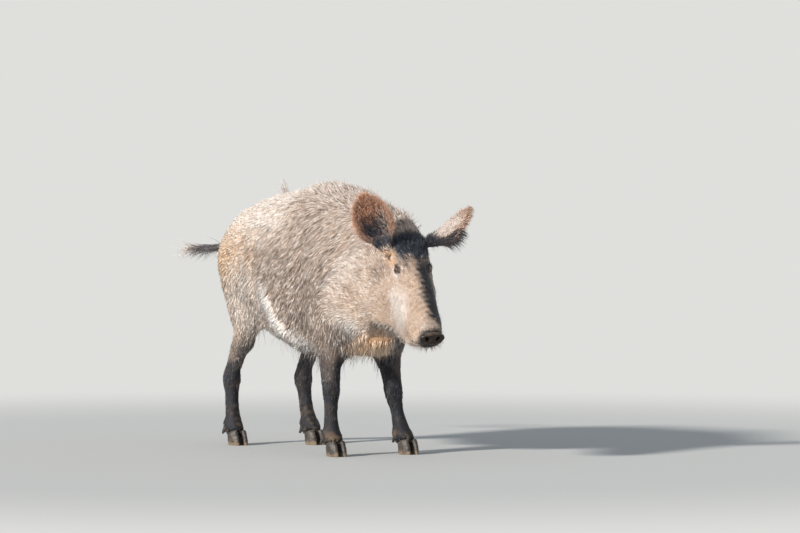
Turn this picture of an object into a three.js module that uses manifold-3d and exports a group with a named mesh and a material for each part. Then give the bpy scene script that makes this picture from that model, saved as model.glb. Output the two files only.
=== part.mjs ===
import * as THREE from "three";
import { mergeVertices } from "three/addons/utils/BufferGeometryUtils.js";
import Module from "manifold-3d";

// A wild boar sow standing still, its head low and turned a little to its right, its tail held out.
// Millimetres, +Z up. It faces -Y, and its left side is at +X. Every surface runs to the tips of the coat.
// The flesh is one smooth field made of named muscle and bone forms, meshed and parted with thin cuts.

const wasm = await Module();
wasm.setup();

const vec = (x, y, z) => new THREE.Vector3(x, y, z);

// ---------- driving dimensions ----------
const frontLine = -298; // where the front legs stand, along Y
const hindLine = 300; // where the hocks stand, along Y
const elbowHeight = 335;
const carpusHeight = 190;
const hockHeight = 190;
const fetlockHeight = 78;
const headLength = 366; // from the poll to the front of the snout
const poll = vec(-16, -570, 628); // the top of the head, between the ears
const headPitch = THREE.MathUtils.degToRad(40); // nose down
const headYaw = THREE.MathUtils.degToRad(-13); // turned to the boar's right
const headRoll = THREE.MathUtils.degToRad(-3); // its left side a little higher
const discDepth = 13; // the snout disc, along the head
const eyeRadius = 12.5;
const gap = 0.3; // between neighbouring pieces
const legSpread = { fore: 117, hind: 103 }; // from the middle plane out to a foot
const left = 1; // the sign of X on that side
const right = -1;

// ---------- forms that the flesh is made of ----------

// Joins two distances with a fillet about as wide as the blend.
function smoothJoin(a, b, blend) {
  const near = Math.max(blend - Math.abs(a - b), 0) / blend;
  return Math.min(a, b) - (near * near * blend) / 4;
}

// A tapered limb from one joint to the next; narrow above 1 makes it slimmer from side to side.
function taper(from, to, fromRadius, toRadius, narrow = 1) {
  const start = from.clone();
  const along = to.clone().sub(from);
  start.x *= narrow;
  along.x *= narrow;
  const lengthSq = along.lengthSq();
  return (p) => {
    const dx = p.x * narrow - start.x;
    const dy = p.y - start.y;
    const dz = p.z - start.z;
    const share = THREE.MathUtils.clamp((dx * along.x + dy * along.y + dz * along.z) / lengthSq, 0, 1);
    const away = Math.hypot(dx - share * along.x, dy - share * along.y, dz - share * along.z);
    return away - THREE.MathUtils.lerp(fromRadius, toRadius, share);
  };
}

// A muscle's rounded mass, with its three half sizes, leaned over about X by a number of degrees.
function mass(centre, halfSizes, lean = 0) {
  const angle = THREE.MathUtils.degToRad(lean);
  const cos = Math.cos(angle);
  const sin = Math.sin(angle);
  return (p) => {
    const y = p.y - centre.y;
    const z = p.z - centre.z;
    const q = vec(p.x - centre.x, y * cos + z * sin, z * cos - y * sin);
    const scaled = q.clone().divide(halfSizes);
    const reach = scaled.length();
    return (reach * (reach - 1)) / Math.max(scaled.divide(halfSizes).length(), 1e-9);
  };
}

// A smooth curve through rows of [place, value, value, ...]; it gives the values at any place.
function curveThrough(rows) {
  const slope = (i, column) => {
    const before = rows[Math.max(i - 1, 0)];
    const after = rows[Math.min(i + 1, rows.length - 1)];
    return (after[column] - before[column]) / (after[0] - before[0]);
  };
  return (place) => {
    const at = THREE.MathUtils.clamp(place, rows[0][0], rows[rows.length - 1][0]);
    const i = Math.min(rows.findLastIndex((row) => row[0] <= at), rows.length - 2);
    const [start, end] = [rows[i], rows[i + 1]];
    const step = end[0] - start[0];
    const t = (at - start[0]) / step;
    return start.slice(1).map((value, column) => {
      const rise = end[column + 1] - value;
      const a = slope(i, column + 1) * step - rise;
      const b = rise - slope(i + 1, column + 1) * step;
      return value + t * rise + t * (1 - t) * (a * (1 - t) + b * t);
    });
  };
}

// A body of sections along Y, each with its top, bottom and half width, widest at a share of its height.
// Its two ends are rounded off.
function sections(rows, widest, topPower, bottomPower, rounding) {
  const curve = curveThrough(rows);
  const middle = (rows[0][0] + rows[rows.length - 1][0]) / 2;
  const halfLength = (rows[rows.length - 1][0] - rows[0][0]) / 2;
  return (p) => {
    const [top, bottom, halfWidth] = curve(p.y);
    const centre = THREE.MathUtils.lerp(bottom, top, widest);
    const z = p.z - centre;
    const power = z > 0 ? topPower : bottomPower;
    const halfHeight = z > 0 ? top - centre : centre - bottom;
    const away = Math.hypot(p.x, z);
    const share = (Math.abs(p.x / halfWidth) ** power + Math.abs(z / halfHeight) ** power) ** (1 / power);
    const across = away < 1e-6 ? -halfWidth : away * (1 - 1 / share);
    return -smoothJoin(-across, halfLength - Math.abs(p.y - middle), rounding);
  };
}

// ---------- trunk and neck ----------

// place along Y, top, bottom, half width
const trunkRows = [
  [-600, 618, 462, 48],
  [-540, 656, 392, 78],
  [-460, 688, 332, 104],
  [-380, 710, 280, 122],
  [-290, 736, 262, 138],
  [-195, 755, 265, 150],
  [-100, 761, 269, 160],
  [0, 746, 277, 166],
  [80, 730, 294, 165],
  [170, 723, 342, 156],
  [250, 712, 394, 142],
  [340, 684, 432, 120],
  [430, 640, 468, 86],
];

const trunkForms = [
  [sections(trunkRows, 0.47, 1.9, 2.3, 150), 1],
  [mass(vec(0, 312, 550), vec(116, 98, 122), 18), 30], // rump
  [taper(vec(0, 380, 585), vec(0, 414, 572), 42, 25), 30], // root of the tail
];

// ---------- legs ----------

const behind = (point, back, up = 0) => point.clone().add(vec(0, back, up));
const between = (from, to, share) => from.clone().lerp(to, share);

function foreLeg(side, elbow, carpus, fetlock, foot) {
  return [
    [mass(vec(side * 82, -225, 515), vec(58, 92, 160), -24), 40], // shoulder blade
    [taper(vec(side * 82, -318, 440), behind(elbow, 8), 64, 54), 50], // upper arm
    [taper(elbow, carpus, 48, 27, 1.22), 34], // forearm
    [taper(behind(elbow, 32), behind(carpus, 16), 40, 15, 1.15), 26], // flexor muscles
    [taper(behind(carpus, -2, 12), behind(carpus, -2, -16), 29, 27, 1.15), 14],
    [taper(carpus, fetlock, 23, 20, 1.1), 14], // cannon
    [taper(behind(carpus, 15), behind(fetlock, 12), 13, 16), 12], // tendons
    [taper(fetlock, behind(foot, 6, 30), 24, 28, 1.02), 14], // pastern
  ];
}

function hindLeg(side, stifle, hock, fetlock, foot) {
  const calf = vec(side * 98, (stifle.y + hock.y) / 2 + 14, 302);
  const aboveHock = between(hock, calf, 0.55);
  return [
    [mass(vec(side * 78, (stifle.y + 350) / 2, 505), vec(60, 110, 165), -30), 30], // thigh
    [taper(vec(side * 66, 310, 535), behind(calf, 22, 70), 64, 38), 46], // buttock
    [taper(stifle, calf, 52, 32, 1.1), 24], // knee
    [taper(calf, aboveHock, 34, 22, 1.12), 24], // shank
    [taper(aboveHock, hock, 22, 22, 1.1), 16],
    [taper(behind(calf, 20, 20), behind(hock, 30, 14), 24, 14, 1.1), 18], // Achilles tendon
    [taper(behind(hock, -8, 4), behind(hock, 26, 2), 27, 20, 1.12), 14], // hock
    [taper(hock, fetlock, 25, 20, 1.1), 16], // cannon
    [taper(behind(hock, 20, -8), behind(fetlock, 14), 15, 16), 12], // tendons
    [taper(fetlock, behind(foot, 6, 30), 24, 28, 1.02), 14], // pastern
  ];
}

// the middle of each foot on the ground; the left hind foot is a step ahead of the right one
const feet = {
  fore_left: vec(legSpread.fore, frontLine - 34, 0),
  fore_right: vec(-legSpread.fore + 10, frontLine - 28, 0),
  hind_left: vec(legSpread.hind, hindLine - 100, 0),
  hind_right: vec(-legSpread.hind, hindLine - 18, 0),
};

const limbs = {
  fore_left: foreLeg(
    left,
    vec(86, frontLine + 30, elbowHeight),
    vec(95, frontLine + 12, carpusHeight - 10),
    vec(107, frontLine - 8, fetlockHeight),
    feet.fore_left,
  ),
  fore_right: foreLeg(
    right,
    vec(-92, frontLine + 30, elbowHeight),
    vec(-104, frontLine + 6, carpusHeight),
    vec(-105, frontLine + 4, fetlockHeight),
    feet.fore_right,
  ),
  hind_left: hindLeg(
    left,
    vec(96, 90, 412),
    vec(96, hindLine - 44, hockHeight),
    vec(100, hindLine - 66, fetlockHeight),
    feet.hind_left,
  ),
  hind_right: hindLeg(
    right,
    vec(-96, 150, 412),
    vec(-98, hindLine + 26, hockHeight),
    vec(-101, hindLine + 14, fetlockHeight),
    feet.hind_right,
  ),
};

// ---------- head, in its own frame: the poll is the origin and the snout points to -Y ----------

const headGroup = new THREE.Group();
headGroup.position.copy(poll);
headGroup.rotation.set(headPitch, headRoll, headYaw, "ZXY");
headGroup.updateMatrix();
const headFrame = headGroup.matrix;
const toHead = headFrame.clone().invert();
const snoutFront = -headLength;

// place along the head's Y, top, bottom, half width
const headRows = [
  [snoutFront, -43, -97, 34],
  [-340, -40, -124, 37],
  [-300, -34, -154, 43],
  [-250, -28, -180, 50],
  [-200, -22, -203, 56],
  [-150, -16, -224, 61],
  [-90, -7, -240, 64],
  [-30, 6, -240, 64],
  [50, 4, -205, 58],
];

const headForms = [[sections(headRows, 0.34, 2.2, 2.5, 20), 1]];
for (const side of [left, right])
  headForms.push(
    [mass(vec(side * 34, -74, -36), vec(22, 32, 18)), 20], // brow
    [taper(vec(side * 46, -150, -112), vec(side * 49, -40, -106), 14, 17), 24], // cheekbone
    [mass(vec(side * 32, -74, -168), vec(34, 62, 60)), 30], // jowl
    [taper(vec(side * 40, -33, -20), vec(side * 53, -23, -14), 22, 14), 24], // root of the ear
    [mass(vec(side * 18, -284, -98), vec(21, 50, 26)), 20], // upper lip, over the tusk
  );

const limbForms = Object.values(limbs).flat();

function joined(forms, p, start = 1e9) {
  let nearest = start;
  for (const [form, blend] of forms) nearest = smoothJoin(nearest, form(p), blend);
  return nearest;
}

// The whole animal's skin, at the coat's tips: below 0 inside.
function flesh(p) {
  const body = joined(limbForms, p, joined(trunkForms, p));
  const head = joined(headForms, p.clone().applyMatrix4(toHead));
  return smoothJoin(body, head, 46);
}

// ---------- meshing ----------

// A closed mesh of the field inside a box of cells, with one vertex in each cell that the surface crosses,
// drawn onto the surface, and one quad round each edge of the grid that crosses it.
function meshOf(field, low, high, cell, frame = new THREE.Matrix4()) {
  const count = ["x", "y", "z"].map((k) => Math.ceil((high[k] - low[k]) / cell[k]) + 1);
  const inside = (corner) => corner.every((n, a) => n > 0 && n < count[a]);
  const place = ([i, j, k]) => vec(low.x + i * cell.x, low.y + j * cell.y, low.z + k * cell.z);
  const value = (p) => field(p.clone().applyMatrix4(frame));
  const index = ([i, j, k]) => (i * (count[1] + 1) + j) * (count[2] + 1) + k;
  const values = new Map();
  const corners = [];
  for (let i = 0; i <= count[0]; i++)
    for (let j = 0; j <= count[1]; j++)
      for (let k = 0; k <= count[2]; k++) {
        const corner = [i, j, k];
        corners.push(corner);
        values.set(index(corner), inside(corner) ? value(place(corner)) : cell.length());
      }
  const plus = (corner, axis, steps = 1) => corner.map((n, a) => n + (a === axis ? steps : 0));
  const points = [];
  const pointOf = new Map();

  const slopeAlong = (p, step) => value(p.clone().add(step)) - value(p.clone().sub(step));

  // Steps down the field's slope onto the surface, by at most part of a cell each time.
  function drawnOn(p) {
    const e = 0.5;
    const most = 0.4 * cell.x;
    for (let round = 0; round < 4; round++) {
      const slope = vec(...[vec(e, 0, 0), vec(0, e, 0), vec(0, 0, e)].map((step) => slopeAlong(p, step)));
      slope.divideScalar(2 * e);
      const step = THREE.MathUtils.clamp(value(p) / Math.max(slope.lengthSq(), 0.2), -most, most);
      p.addScaledVector(slope, -step);
    }
    return p;
  }

  function vertexIn(corner) {
    const id = index(corner);
    if (pointOf.has(id)) return pointOf.get(id);
    const crossings = vec(0, 0, 0);
    let found = 0;
    for (let bits = 0; bits < 8; bits++)
      for (let axis = 0; axis < 3; axis++) {
        if (bits & (1 << axis)) continue;
        const from = corner.map((n, a) => n + ((bits >> a) & 1));
        const to = plus(from, axis);
        const [a, b] = [values.get(index(from)), values.get(index(to))];
        if (a < 0 === b < 0) continue;
        crossings.add(place(from).lerp(place(to), a / (a - b)));
        found++;
      }
    const whole = corner.every((n, a) => n > 0 && n < count[a] - 1);
    const point = crossings.divideScalar(found);
    points.push(...(whole ? drawnOn(point) : point).toArray());
    pointOf.set(id, points.length / 3 - 1);
    return points.length / 3 - 1;
  }

  const triangles = [];
  const quadCorners = [[0, 0], [1, 0], [1, 1], [0, 1]];
  for (const corner of corners)
    for (let axis = 0; axis < 3; axis++) {
      const other = plus(corner, axis);
      if (other[axis] > count[axis]) continue;
      const [a, b] = [values.get(index(corner)), values.get(index(other))];
      if (a < 0 === b < 0) continue;
      const [u, v] = [(axis + 1) % 3, (axis + 2) % 3];
      const ring = quadCorners.map(([m, n]) => vertexIn(plus(plus(corner, u, -m), v, -n)));
      if (a > 0) ring.reverse();
      triangles.push(ring[0], ring[1], ring[2], ring[0], ring[2], ring[3]);
    }
  const geometry = new THREE.BufferGeometry();
  geometry.setAttribute("position", new THREE.Float32BufferAttribute(points, 3));
  geometry.setIndex(triangles);
  return geometry.applyMatrix4(frame);
}

// ---------- solids ----------

function solidOf(geometry) {
  const bare = geometry.clone();
  bare.deleteAttribute("normal");
  bare.deleteAttribute("uv");
  const merged = mergeVertices(bare, 1e-3);
  return new wasm.Manifold(
    new wasm.Mesh({
      numProp: 3,
      vertProperties: new Float32Array(merged.attributes.position.array),
      triVerts: new Uint32Array(merged.index.array),
    }),
  );
}

function geometryOf(solid) {
  const mesh = solid.getMesh();
  const positions = [];
  for (let i = 0; i < mesh.numVert; i++)
    positions.push(...mesh.vertProperties.slice(i * mesh.numProp, i * mesh.numProp + 3));
  const geometry = new THREE.BufferGeometry();
  geometry.setAttribute("position", new THREE.Float32BufferAttribute(positions, 3));
  geometry.setIndex([...mesh.triVerts]);
  return geometry;
}

function boxSolid(low, high, grow = 0) {
  const size = high.clone().sub(low).addScalar(2 * grow);
  const middle = low.clone().add(high).multiplyScalar(0.5);
  return solidOf(new THREE.BoxGeometry(size.x, size.y, size.z).translate(middle.x, middle.y, middle.z));
}

// All that lies beyond a plane, which is moved along its direction by the shift.
function beyond(point, direction, shift) {
  const reach = 3000;
  const slab = new THREE.BoxGeometry(reach, reach, reach).translate(0, 0, reach / 2 + shift);
  const turn = new THREE.Quaternion().setFromUnitVectors(vec(0, 0, 1), direction.clone().normalize());
  return solidOf(slab.applyQuaternion(turn).translate(point.x, point.y, point.z));
}

function ball(centre, radii, around = 10) {
  const sphere = new THREE.SphereGeometry(1, around, Math.round(around * 0.6));
  return solidOf(sphere.scale(radii.x, radii.y, radii.z).translate(centre.x, centre.y, centre.z));
}

function volumeInside(points, triangles) {
  let sum = 0;
  for (let i = 0; i < triangles.length; i += 3) {
    const [a, b, c] = triangles.slice(i, i + 3).map((id) => points[id]);
    sum += a.dot(b.clone().cross(c)) / 6;
  }
  return sum;
}

// A closed body through rings that have the same number of points, whichever way round they run.
function loftThrough(rings) {
  const around = rings[0].length;
  const points = rings.flat();
  const triangles = [];
  for (let r = 0; r + 1 < rings.length; r++)
    for (let i = 0; i < around; i++) {
      const [a, b] = [r * around + i, r * around + ((i + 1) % around)];
      triangles.push(a, b, b + around, a, b + around, a + around);
    }
  for (const [first, turned] of [[0, true], [(rings.length - 1) * around, false]]) {
    const centre = vec(0, 0, 0);
    for (let i = 0; i < around; i++) centre.addScaledVector(points[first + i], 1 / around);
    points.push(centre);
    for (let i = 0; i < around; i++) {
      const [a, b] = [first + i, first + ((i + 1) % around)];
      triangles.push(...(turned ? [b, a, points.length - 1] : [a, b, points.length - 1]));
    }
  }
  if (volumeInside(points, triangles) < 0) triangles.reverse();
  const geometry = new THREE.BufferGeometry().setFromPoints(points);
  geometry.setIndex(triangles);
  return solidOf(geometry);
}

// Cuts a piece back from the flesh that it grows out of, with the gap on the side it leaves by.
function cutBack(piece, skin, way) {
  const step = way.clone().normalize().multiplyScalar(gap * 1.5);
  return piece.subtract(solidOf(skin)).subtract(solidOf(skin.clone().translate(step.x, step.y, step.z)));
}

const ringOf = (count, at) => Array.from({ length: count }, (_, i) => at((i / count) * 2 * Math.PI));
const inHead = (x, y, z) => vec(x, y, z).applyMatrix4(headFrame);
const headDirection = (x, y, z) => vec(x, y, z).transformDirection(headFrame);

// ---------- where the flesh is parted ----------

const collarLine = -382;
const pollCut = [vec(-12, -492, 520), vec(0, -0.93, -0.37)];
const collarCut = [vec(0, collarLine, 0), vec(0, -1, 0)];
const throatCut = [inHead(0, -60, -250), headDirection(0, -0.1, 1)];
const snoutCut = [inHead(0, snoutFront + discDepth, 0), headDirection(0, -1, 0)];
const mouthCut = [inHead(0, snoutFront + discDepth, -114), headDirection(0, -0.06, -1)];
const elbowCut = 254;
const stifleCut = 306;
const coronetHeight = 40;
const coronetSlope = vec(0, -0.3, -1);

const shoulderBack = -168;
const rumpBack = 480;
const flank = 260; // well outside the body
const sole = -60; // well below the ground

// A box on one side of the body, given by its range along X, Y and Z as on the left side.
function sideBox(side, [x0, x1], [y0, y1], [z0, z1]) {
  return side === left ? [vec(x0, y0, z0), vec(x1, y1, z1)] : [vec(-x1, y0, z0), vec(-x0, y1, z1)];
}

const blockOf = {};
for (const [name, side] of [["left", left], ["right", right]]) {
  const foreRange = [collarLine, shoulderBack];
  const stifleY = side === left ? 92 : 152;
  const shankRange = [stifleY + 20, rumpBack];
  blockOf[`shoulder_${name}`] = sideBox(side, [56, flank], foreRange, [elbowCut, 450]);
  blockOf[`forearm_${name}`] = sideBox(side, [10, flank], foreRange, [carpusHeight, elbowCut]);
  blockOf[`fore_foot_${name}`] = sideBox(side, [10, flank], foreRange, [sole, carpusHeight]);
  blockOf[`thigh_${name}`] = sideBox(side, [46, flank], [stifleY - 64, rumpBack], [stifleCut, 590]);
  blockOf[`shank_${name}`] = sideBox(side, [10, flank], shankRange, [hockHeight, stifleCut]);
  blockOf[`hind_foot_${name}`] = sideBox(side, [10, flank], shankRange, [sole, hockHeight]);
}

// ---------- the parts ----------

const finishes = {
  bodyCoat: { color: 0x9a8672, roughness: 0.9, metalness: 0 },
  legCoat: { color: 0x3b302b, roughness: 0.88, metalness: 0 },
  earCoat: { color: 0x6e4631, roughness: 0.9, metalness: 0 },
  snoutSkin: { color: 0x2e2422, roughness: 0.4, metalness: 0 },
  horn: { color: 0x29232a, roughness: 0.45, metalness: 0 },
  eye: { color: 0x1c120c, roughness: 0.1, metalness: 0 },
};

const boar = new THREE.Group();
boar.add(headGroup);

// Adds a named part to a group; its solid is given in the boar's frame.
function addPart(group, name, solid, finish) {
  const material = new THREE.MeshStandardMaterial(finishes[finish]);
  const toGroup = group.matrix.clone().invert();
  const mesh = new THREE.Mesh(geometryOf(solid).applyMatrix4(toGroup), material);
  mesh.name = name;
  group.add(mesh);
}

function withoutBlocks(solid) {
  let rest = solid;
  for (const [low, high] of Object.values(blockOf)) rest = rest.subtract(boxSolid(low, high, gap));
  return rest;
}

const trunkCell = vec(44, 58, 44);
const trunkSkin = meshOf(flesh, vec(-200, -430, 240), vec(200, 500, 790), trunkCell);
const trunkSolid = solidOf(trunkSkin).subtract(beyond(...collarCut, 0));
addPart(boar, "trunk", withoutBlocks(trunkSolid), "bodyCoat");

const neckCell = vec(34, 34, 34);
const neckSkin = meshOf(flesh, vec(-170, -640, 250), vec(170, -360, 770), neckCell);
const headRegion = (shift) => beyond(...pollCut, shift).intersect(beyond(...throatCut, shift));
const neckSolid = solidOf(neckSkin).intersect(beyond(...collarCut, gap)).subtract(headRegion(-gap));
addPart(boar, "neck", neckSolid, "bodyCoat");

// ---------- legs: shoulder, forearm and fore foot; thigh, shank and hind foot ----------

const broadCell = vec(33, 37, 36);
const slimCell = vec(15, 17.5, 27);
const isBroad = (name) => name.startsWith("shoulder") || name.startsWith("thigh");

function blockSkin(name) {
  const [low, high] = blockOf[name];
  const cell = isBroad(name) ? broadCell : slimCell;
  const margin = cell.clone().multiplyScalar(1.6);
  return meshOf(flesh, low.clone().sub(margin), high.clone().add(margin), cell);
}

const legGroups = {};
for (const [name, foot] of Object.entries(feet)) {
  legGroups[name] = new THREE.Group();
  legGroups[name].position.copy(foot);
  legGroups[name].updateMatrix();
  boar.add(legGroups[name]);
}

for (const [name, block] of Object.entries(blockOf)) {
  const end = /fore|shoulder/.test(name) ? "fore" : "hind";
  const leg = `${end}_${name.split("_").at(-1)}`;
  let part = solidOf(blockSkin(name)).intersect(boxSolid(...block));
  if (name.includes("foot"))
    part = part.subtract(beyond(behind(feet[leg], 0, coronetHeight), coronetSlope, -gap));
  addPart(legGroups[leg], name, part, isBroad(name) ? "bodyCoat" : "legCoat");
}

// ---------- claws: two that stand on the ground and two small ones behind on each foot ----------

const clawSpread = 14; // from the middle of the foot out to the middle of a claw
const clawTop = coronetHeight + 8; // before the sloped cut
// share of the height, half length, half width, place of the middle along Y
const clawRows = [
  [0, 30, 13, -6],
  [0.4, 28, 13.4, -3],
  [1, 23, 12.6, 6],
];

function clawSolid(foot, outward) {
  const rings = clawRows.map(([share, halfLength, halfWidth, middle]) =>
    ringOf(9, (angle) => {
      const front = Math.max(0, -Math.sin(angle)) ** 2; // 1 at the toe
      const inner = Math.cos(angle) * outward < 0 ? 0.8 : 1; // flatter towards its neighbour
      const x = Math.cos(angle) * halfWidth * inner * (1 - 0.42 * front) - outward * 3 * front;
      const y = Math.sin(angle) * halfLength + middle;
      return vec(foot.x + outward * clawSpread + x, foot.y + y, share * clawTop);
    }),
  );
  const aboveHoof = beyond(behind(foot, 0, coronetHeight), coronetSlope.clone().negate(), 0);
  return loftThrough(rings).subtract(aboveHoof);
}

function dewclawSolid(foot, outward, skin) {
  const top = behind(foot, 30, 66).add(vec(outward * 15, 0, 0));
  const tip = behind(foot, 46, 30).add(vec(outward * 25, 0, 0));
  const rings = [[top, 10], [tip, 4]].map(([centre, radius]) =>
    ringOf(6, (angle) => {
      const ring = vec(Math.cos(angle), Math.sin(angle) * 1.1, Math.sin(angle) * 0.4);
      return centre.clone().addScaledVector(ring, radius);
    }),
  );
  return cutBack(loftThrough(rings), skin, vec(outward, 2, -1));
}

for (const [name, foot] of Object.entries(feet)) {
  const skin = blockSkin(name.replace("_", "_foot_"));
  const away = Math.sign(foot.x);
  for (const [which, outward] of [["outer", away], ["inner", -away]]) {
    addPart(legGroups[name], `claw_${name}_${which}`, clawSolid(foot, outward), "horn");
    addPart(legGroups[name], `dewclaw_${name}_${which}`, dewclawSolid(foot, outward, skin), "horn");
  }
}

// ---------- head ----------

const headLow = vec(-150, snoutFront - 16, -310);
const headHigh = vec(150, 150, 60);
const headCell = vec(20, 23, 20);
const eyeSpread = 40.5; // from the middle plane of the head
const eyeCentres = { left: inHead(eyeSpread, -99, -53), right: inHead(-eyeSpread, -99, -53) };

const headSkin = meshOf(flesh, headLow, headHigh, headCell, headFrame);
let skull = solidOf(headSkin)
  .intersect(headRegion(0))
  .subtract(beyond(...snoutCut, -gap));
for (const centre of Object.values(eyeCentres)) {
  const socket = eyeRadius + gap;
  skull = skull.subtract(ball(centre, vec(socket, socket, socket)));
}
addPart(headGroup, "head", skull.subtract(beyond(...mouthCut, -gap)), "bodyCoat");
addPart(headGroup, "lower_jaw", skull.intersect(beyond(...mouthCut, 0)), "bodyCoat");
for (const [name, centre] of Object.entries(eyeCentres))
  addPart(headGroup, `eye_${name}`, ball(centre, vec(eyeRadius, eyeRadius, eyeRadius)), "eye");

const discHalfWidth = 34.5;
const discHalfHeight = 25;
const discCentre = -69; // below the line of the poll
const nostrilSpread = 14;
const nostrilSize = vec(5.5, 8, 7);
// how far out from the cut, share of the full size
const discRows = [[0, 0.92], [4, 1], [9, 0.99], [discDepth, 0.88]];
const discRings = discRows.map(([out, share]) =>
  ringOf(16, (angle) => {
    const x = Math.cos(angle) * discHalfWidth * share;
    const z = discCentre + Math.sin(angle) * discHalfHeight * share;
    return inHead(x, snoutFront + discDepth - out, z);
  }),
);
let disc = loftThrough(discRings);
for (const side of [left, right])
  disc = disc.subtract(ball(inHead(side * nostrilSpread, snoutFront, discCentre), nostrilSize));
addPart(headGroup, "snout_disc", disc, "snoutSkin");

// ---------- ears ----------

// share of the length, half width, how deep the hollow is, thickness
const earRows = [
  [-0.14, 15, 6, 14],
  [0.05, 34, 24, 13],
  [0.26, 50, 30, 9],
  [0.48, 52, 21, 8],
  [0.7, 44, 12, 7],
  [0.88, 28, 6, 6],
  [1, 9, 2, 4],
];

function earSolid(root, along, opening) {
  const across = opening.clone().cross(along).normalize();
  const facing = along.clone().cross(across).normalize();
  const rings = earRows.map(([share, halfWidth, hollow, thickness]) =>
    ringOf(12, (angle) => {
      const t = Math.cos(angle);
      const depth = hollow * t * t + (thickness / 2) * Math.sin(angle);
      const point = root.clone().addScaledVector(along, share);
      return point.addScaledVector(across, halfWidth * t).addScaledVector(facing, depth);
    }),
  );
  return loftThrough(rings);
}

// the left ear is laid out to the side; the right one stands up and turns its hollow forwards
const ears = {
  left: { root: inHead(58, -23, -11), reach: vec(100, -44, 82), opening: vec(0.63, 0.12, -0.77) },
  right: { root: inHead(-70, -25, -13), reach: vec(-60, 13, 123), opening: vec(-0.5, -0.84, -0.1) },
};
for (const [name, { root, reach, opening }] of Object.entries(ears)) {
  const ear = cutBack(earSolid(root, reach, opening), headSkin, reach);
  addPart(headGroup, `ear_${name}`, ear, "earCoat");
}

// ---------- tail ----------

const tailRoot = vec(0, 396, 572);
const tailSwing = THREE.MathUtils.degToRad(20);
// share of the length, radius, droop
const tailRows = [
  [0, 24, 0],
  [0.12, 19, 2],
  [0.3, 14, 8],
  [0.5, 13, 16],
  [0.7, 14, 22],
  [0.86, 12, 24],
  [1, 3, 24],
];
const tailLength = 300;
const tailWay = vec(-Math.sin(tailSwing), Math.cos(tailSwing), 0);
const tailRings = tailRows.map(([share, radius, droop]) =>
  ringOf(10, (angle) => {
    const ring = vec(Math.cos(angle) * radius, 0, Math.sin(angle) * radius - droop);
    return tailRoot.clone().addScaledVector(tailWay, share * tailLength).add(ring);
  }),
);
addPart(boar, "tail", cutBack(loftThrough(tailRings), trunkSkin, vec(0, 1, 0)), "legCoat");

// ---------- the origin is under the middle of the whole boar ----------

const bounds = new THREE.Box3().setFromObject(boar, true);
const middle = bounds.getCenter(vec(0, 0, 0));
boar.position.set(-middle.x, -middle.y, -bounds.min.z);

export default boar;
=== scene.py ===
import math

import bmesh
import bpy
import numpy as np
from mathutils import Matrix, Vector
from mathutils.kdtree import KDTree


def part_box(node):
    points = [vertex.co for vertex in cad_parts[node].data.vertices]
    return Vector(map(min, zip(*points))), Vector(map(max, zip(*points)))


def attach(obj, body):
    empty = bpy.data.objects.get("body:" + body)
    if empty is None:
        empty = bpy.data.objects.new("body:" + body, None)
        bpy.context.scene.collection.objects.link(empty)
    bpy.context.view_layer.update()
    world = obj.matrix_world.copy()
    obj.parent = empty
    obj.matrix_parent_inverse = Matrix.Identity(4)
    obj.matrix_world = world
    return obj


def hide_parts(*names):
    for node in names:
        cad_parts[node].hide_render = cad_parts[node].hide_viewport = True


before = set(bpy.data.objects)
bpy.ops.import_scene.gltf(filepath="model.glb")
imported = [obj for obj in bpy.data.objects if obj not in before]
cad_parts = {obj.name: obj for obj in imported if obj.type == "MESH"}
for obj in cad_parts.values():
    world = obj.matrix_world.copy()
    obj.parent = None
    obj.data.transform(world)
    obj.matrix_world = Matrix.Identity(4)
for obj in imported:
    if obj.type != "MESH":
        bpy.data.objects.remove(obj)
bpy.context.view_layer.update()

# Metres throughout. The boar faces -Y, and its own left side is at +X.


def unit(vectors):
    return vectors / np.maximum(np.linalg.norm(vectors, axis=-1, keepdims=True), 1e-12)


# 0 before start, 1 past end, smooth between
def ramp(values, start, end):
    t = np.clip((values - start) / (end - start), 0.0, 1.0)
    return t * t * (3.0 - 2.0 * t)


# 1 from start to end, each a pair of places between which it fades
def between(values, start, end):
    return ramp(values, *start) * (1 - ramp(values, *end))


# a soft ridge of height 1 where the values are 0
def ridge(values, wide):
    return np.exp(-(values / wide) ** 2)


# 1 inside an ellipsoid, fading out over its edge
def blob(points, centre, sizes, edge=0.4):
    away = np.linalg.norm((points - np.array(centre)) / np.array(sizes), axis=1)
    return 1.0 - ramp(away, 1.0 - edge, 1.0 + edge)


# smooth noise from about -1 to 1, whose waves are about that size
def ripple(points, size, seed):
    draws = np.random.default_rng(seed)
    ways = unit(draws.normal(size=(7, 3))) * (2 * math.pi / size) * draws.uniform(0.7, 1.4, (7, 1))
    return np.sin(points @ ways.T + draws.uniform(0, 2 * math.pi, 7)).sum(axis=1) / 3.0


# a smooth curve through rows of (place, value, value, ...)
def through(rows, places):
    table = np.array(rows, dtype=float)
    at, values = table[:, 0], table[:, 1:]
    slopes = np.gradient(values, at, axis=0)
    i = np.clip(np.searchsorted(at, places, side="right") - 1, 0, len(at) - 2)
    step = (at[i + 1] - at[i])[:, None]
    t = (np.asarray(places) - at[i])[:, None] / step
    bend = slopes[i] * step * t * (1 - t) ** 2 - slopes[i + 1] * step * t * t * (1 - t)
    return values[i] * (1 + 2 * t) * (1 - t) ** 2 + values[i + 1] * (3 - 2 * t) * t * t + bend


# first where share is 0, second where it is 1; vectors are mixed row by row
def blend(first, second, share):
    if np.ndim(first) > 1:
        share = share[:, None]
    return first + (second - first) * share


def middleOf(node):
    low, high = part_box(node)
    return (np.array(low) + np.array(high)) / 2


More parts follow.
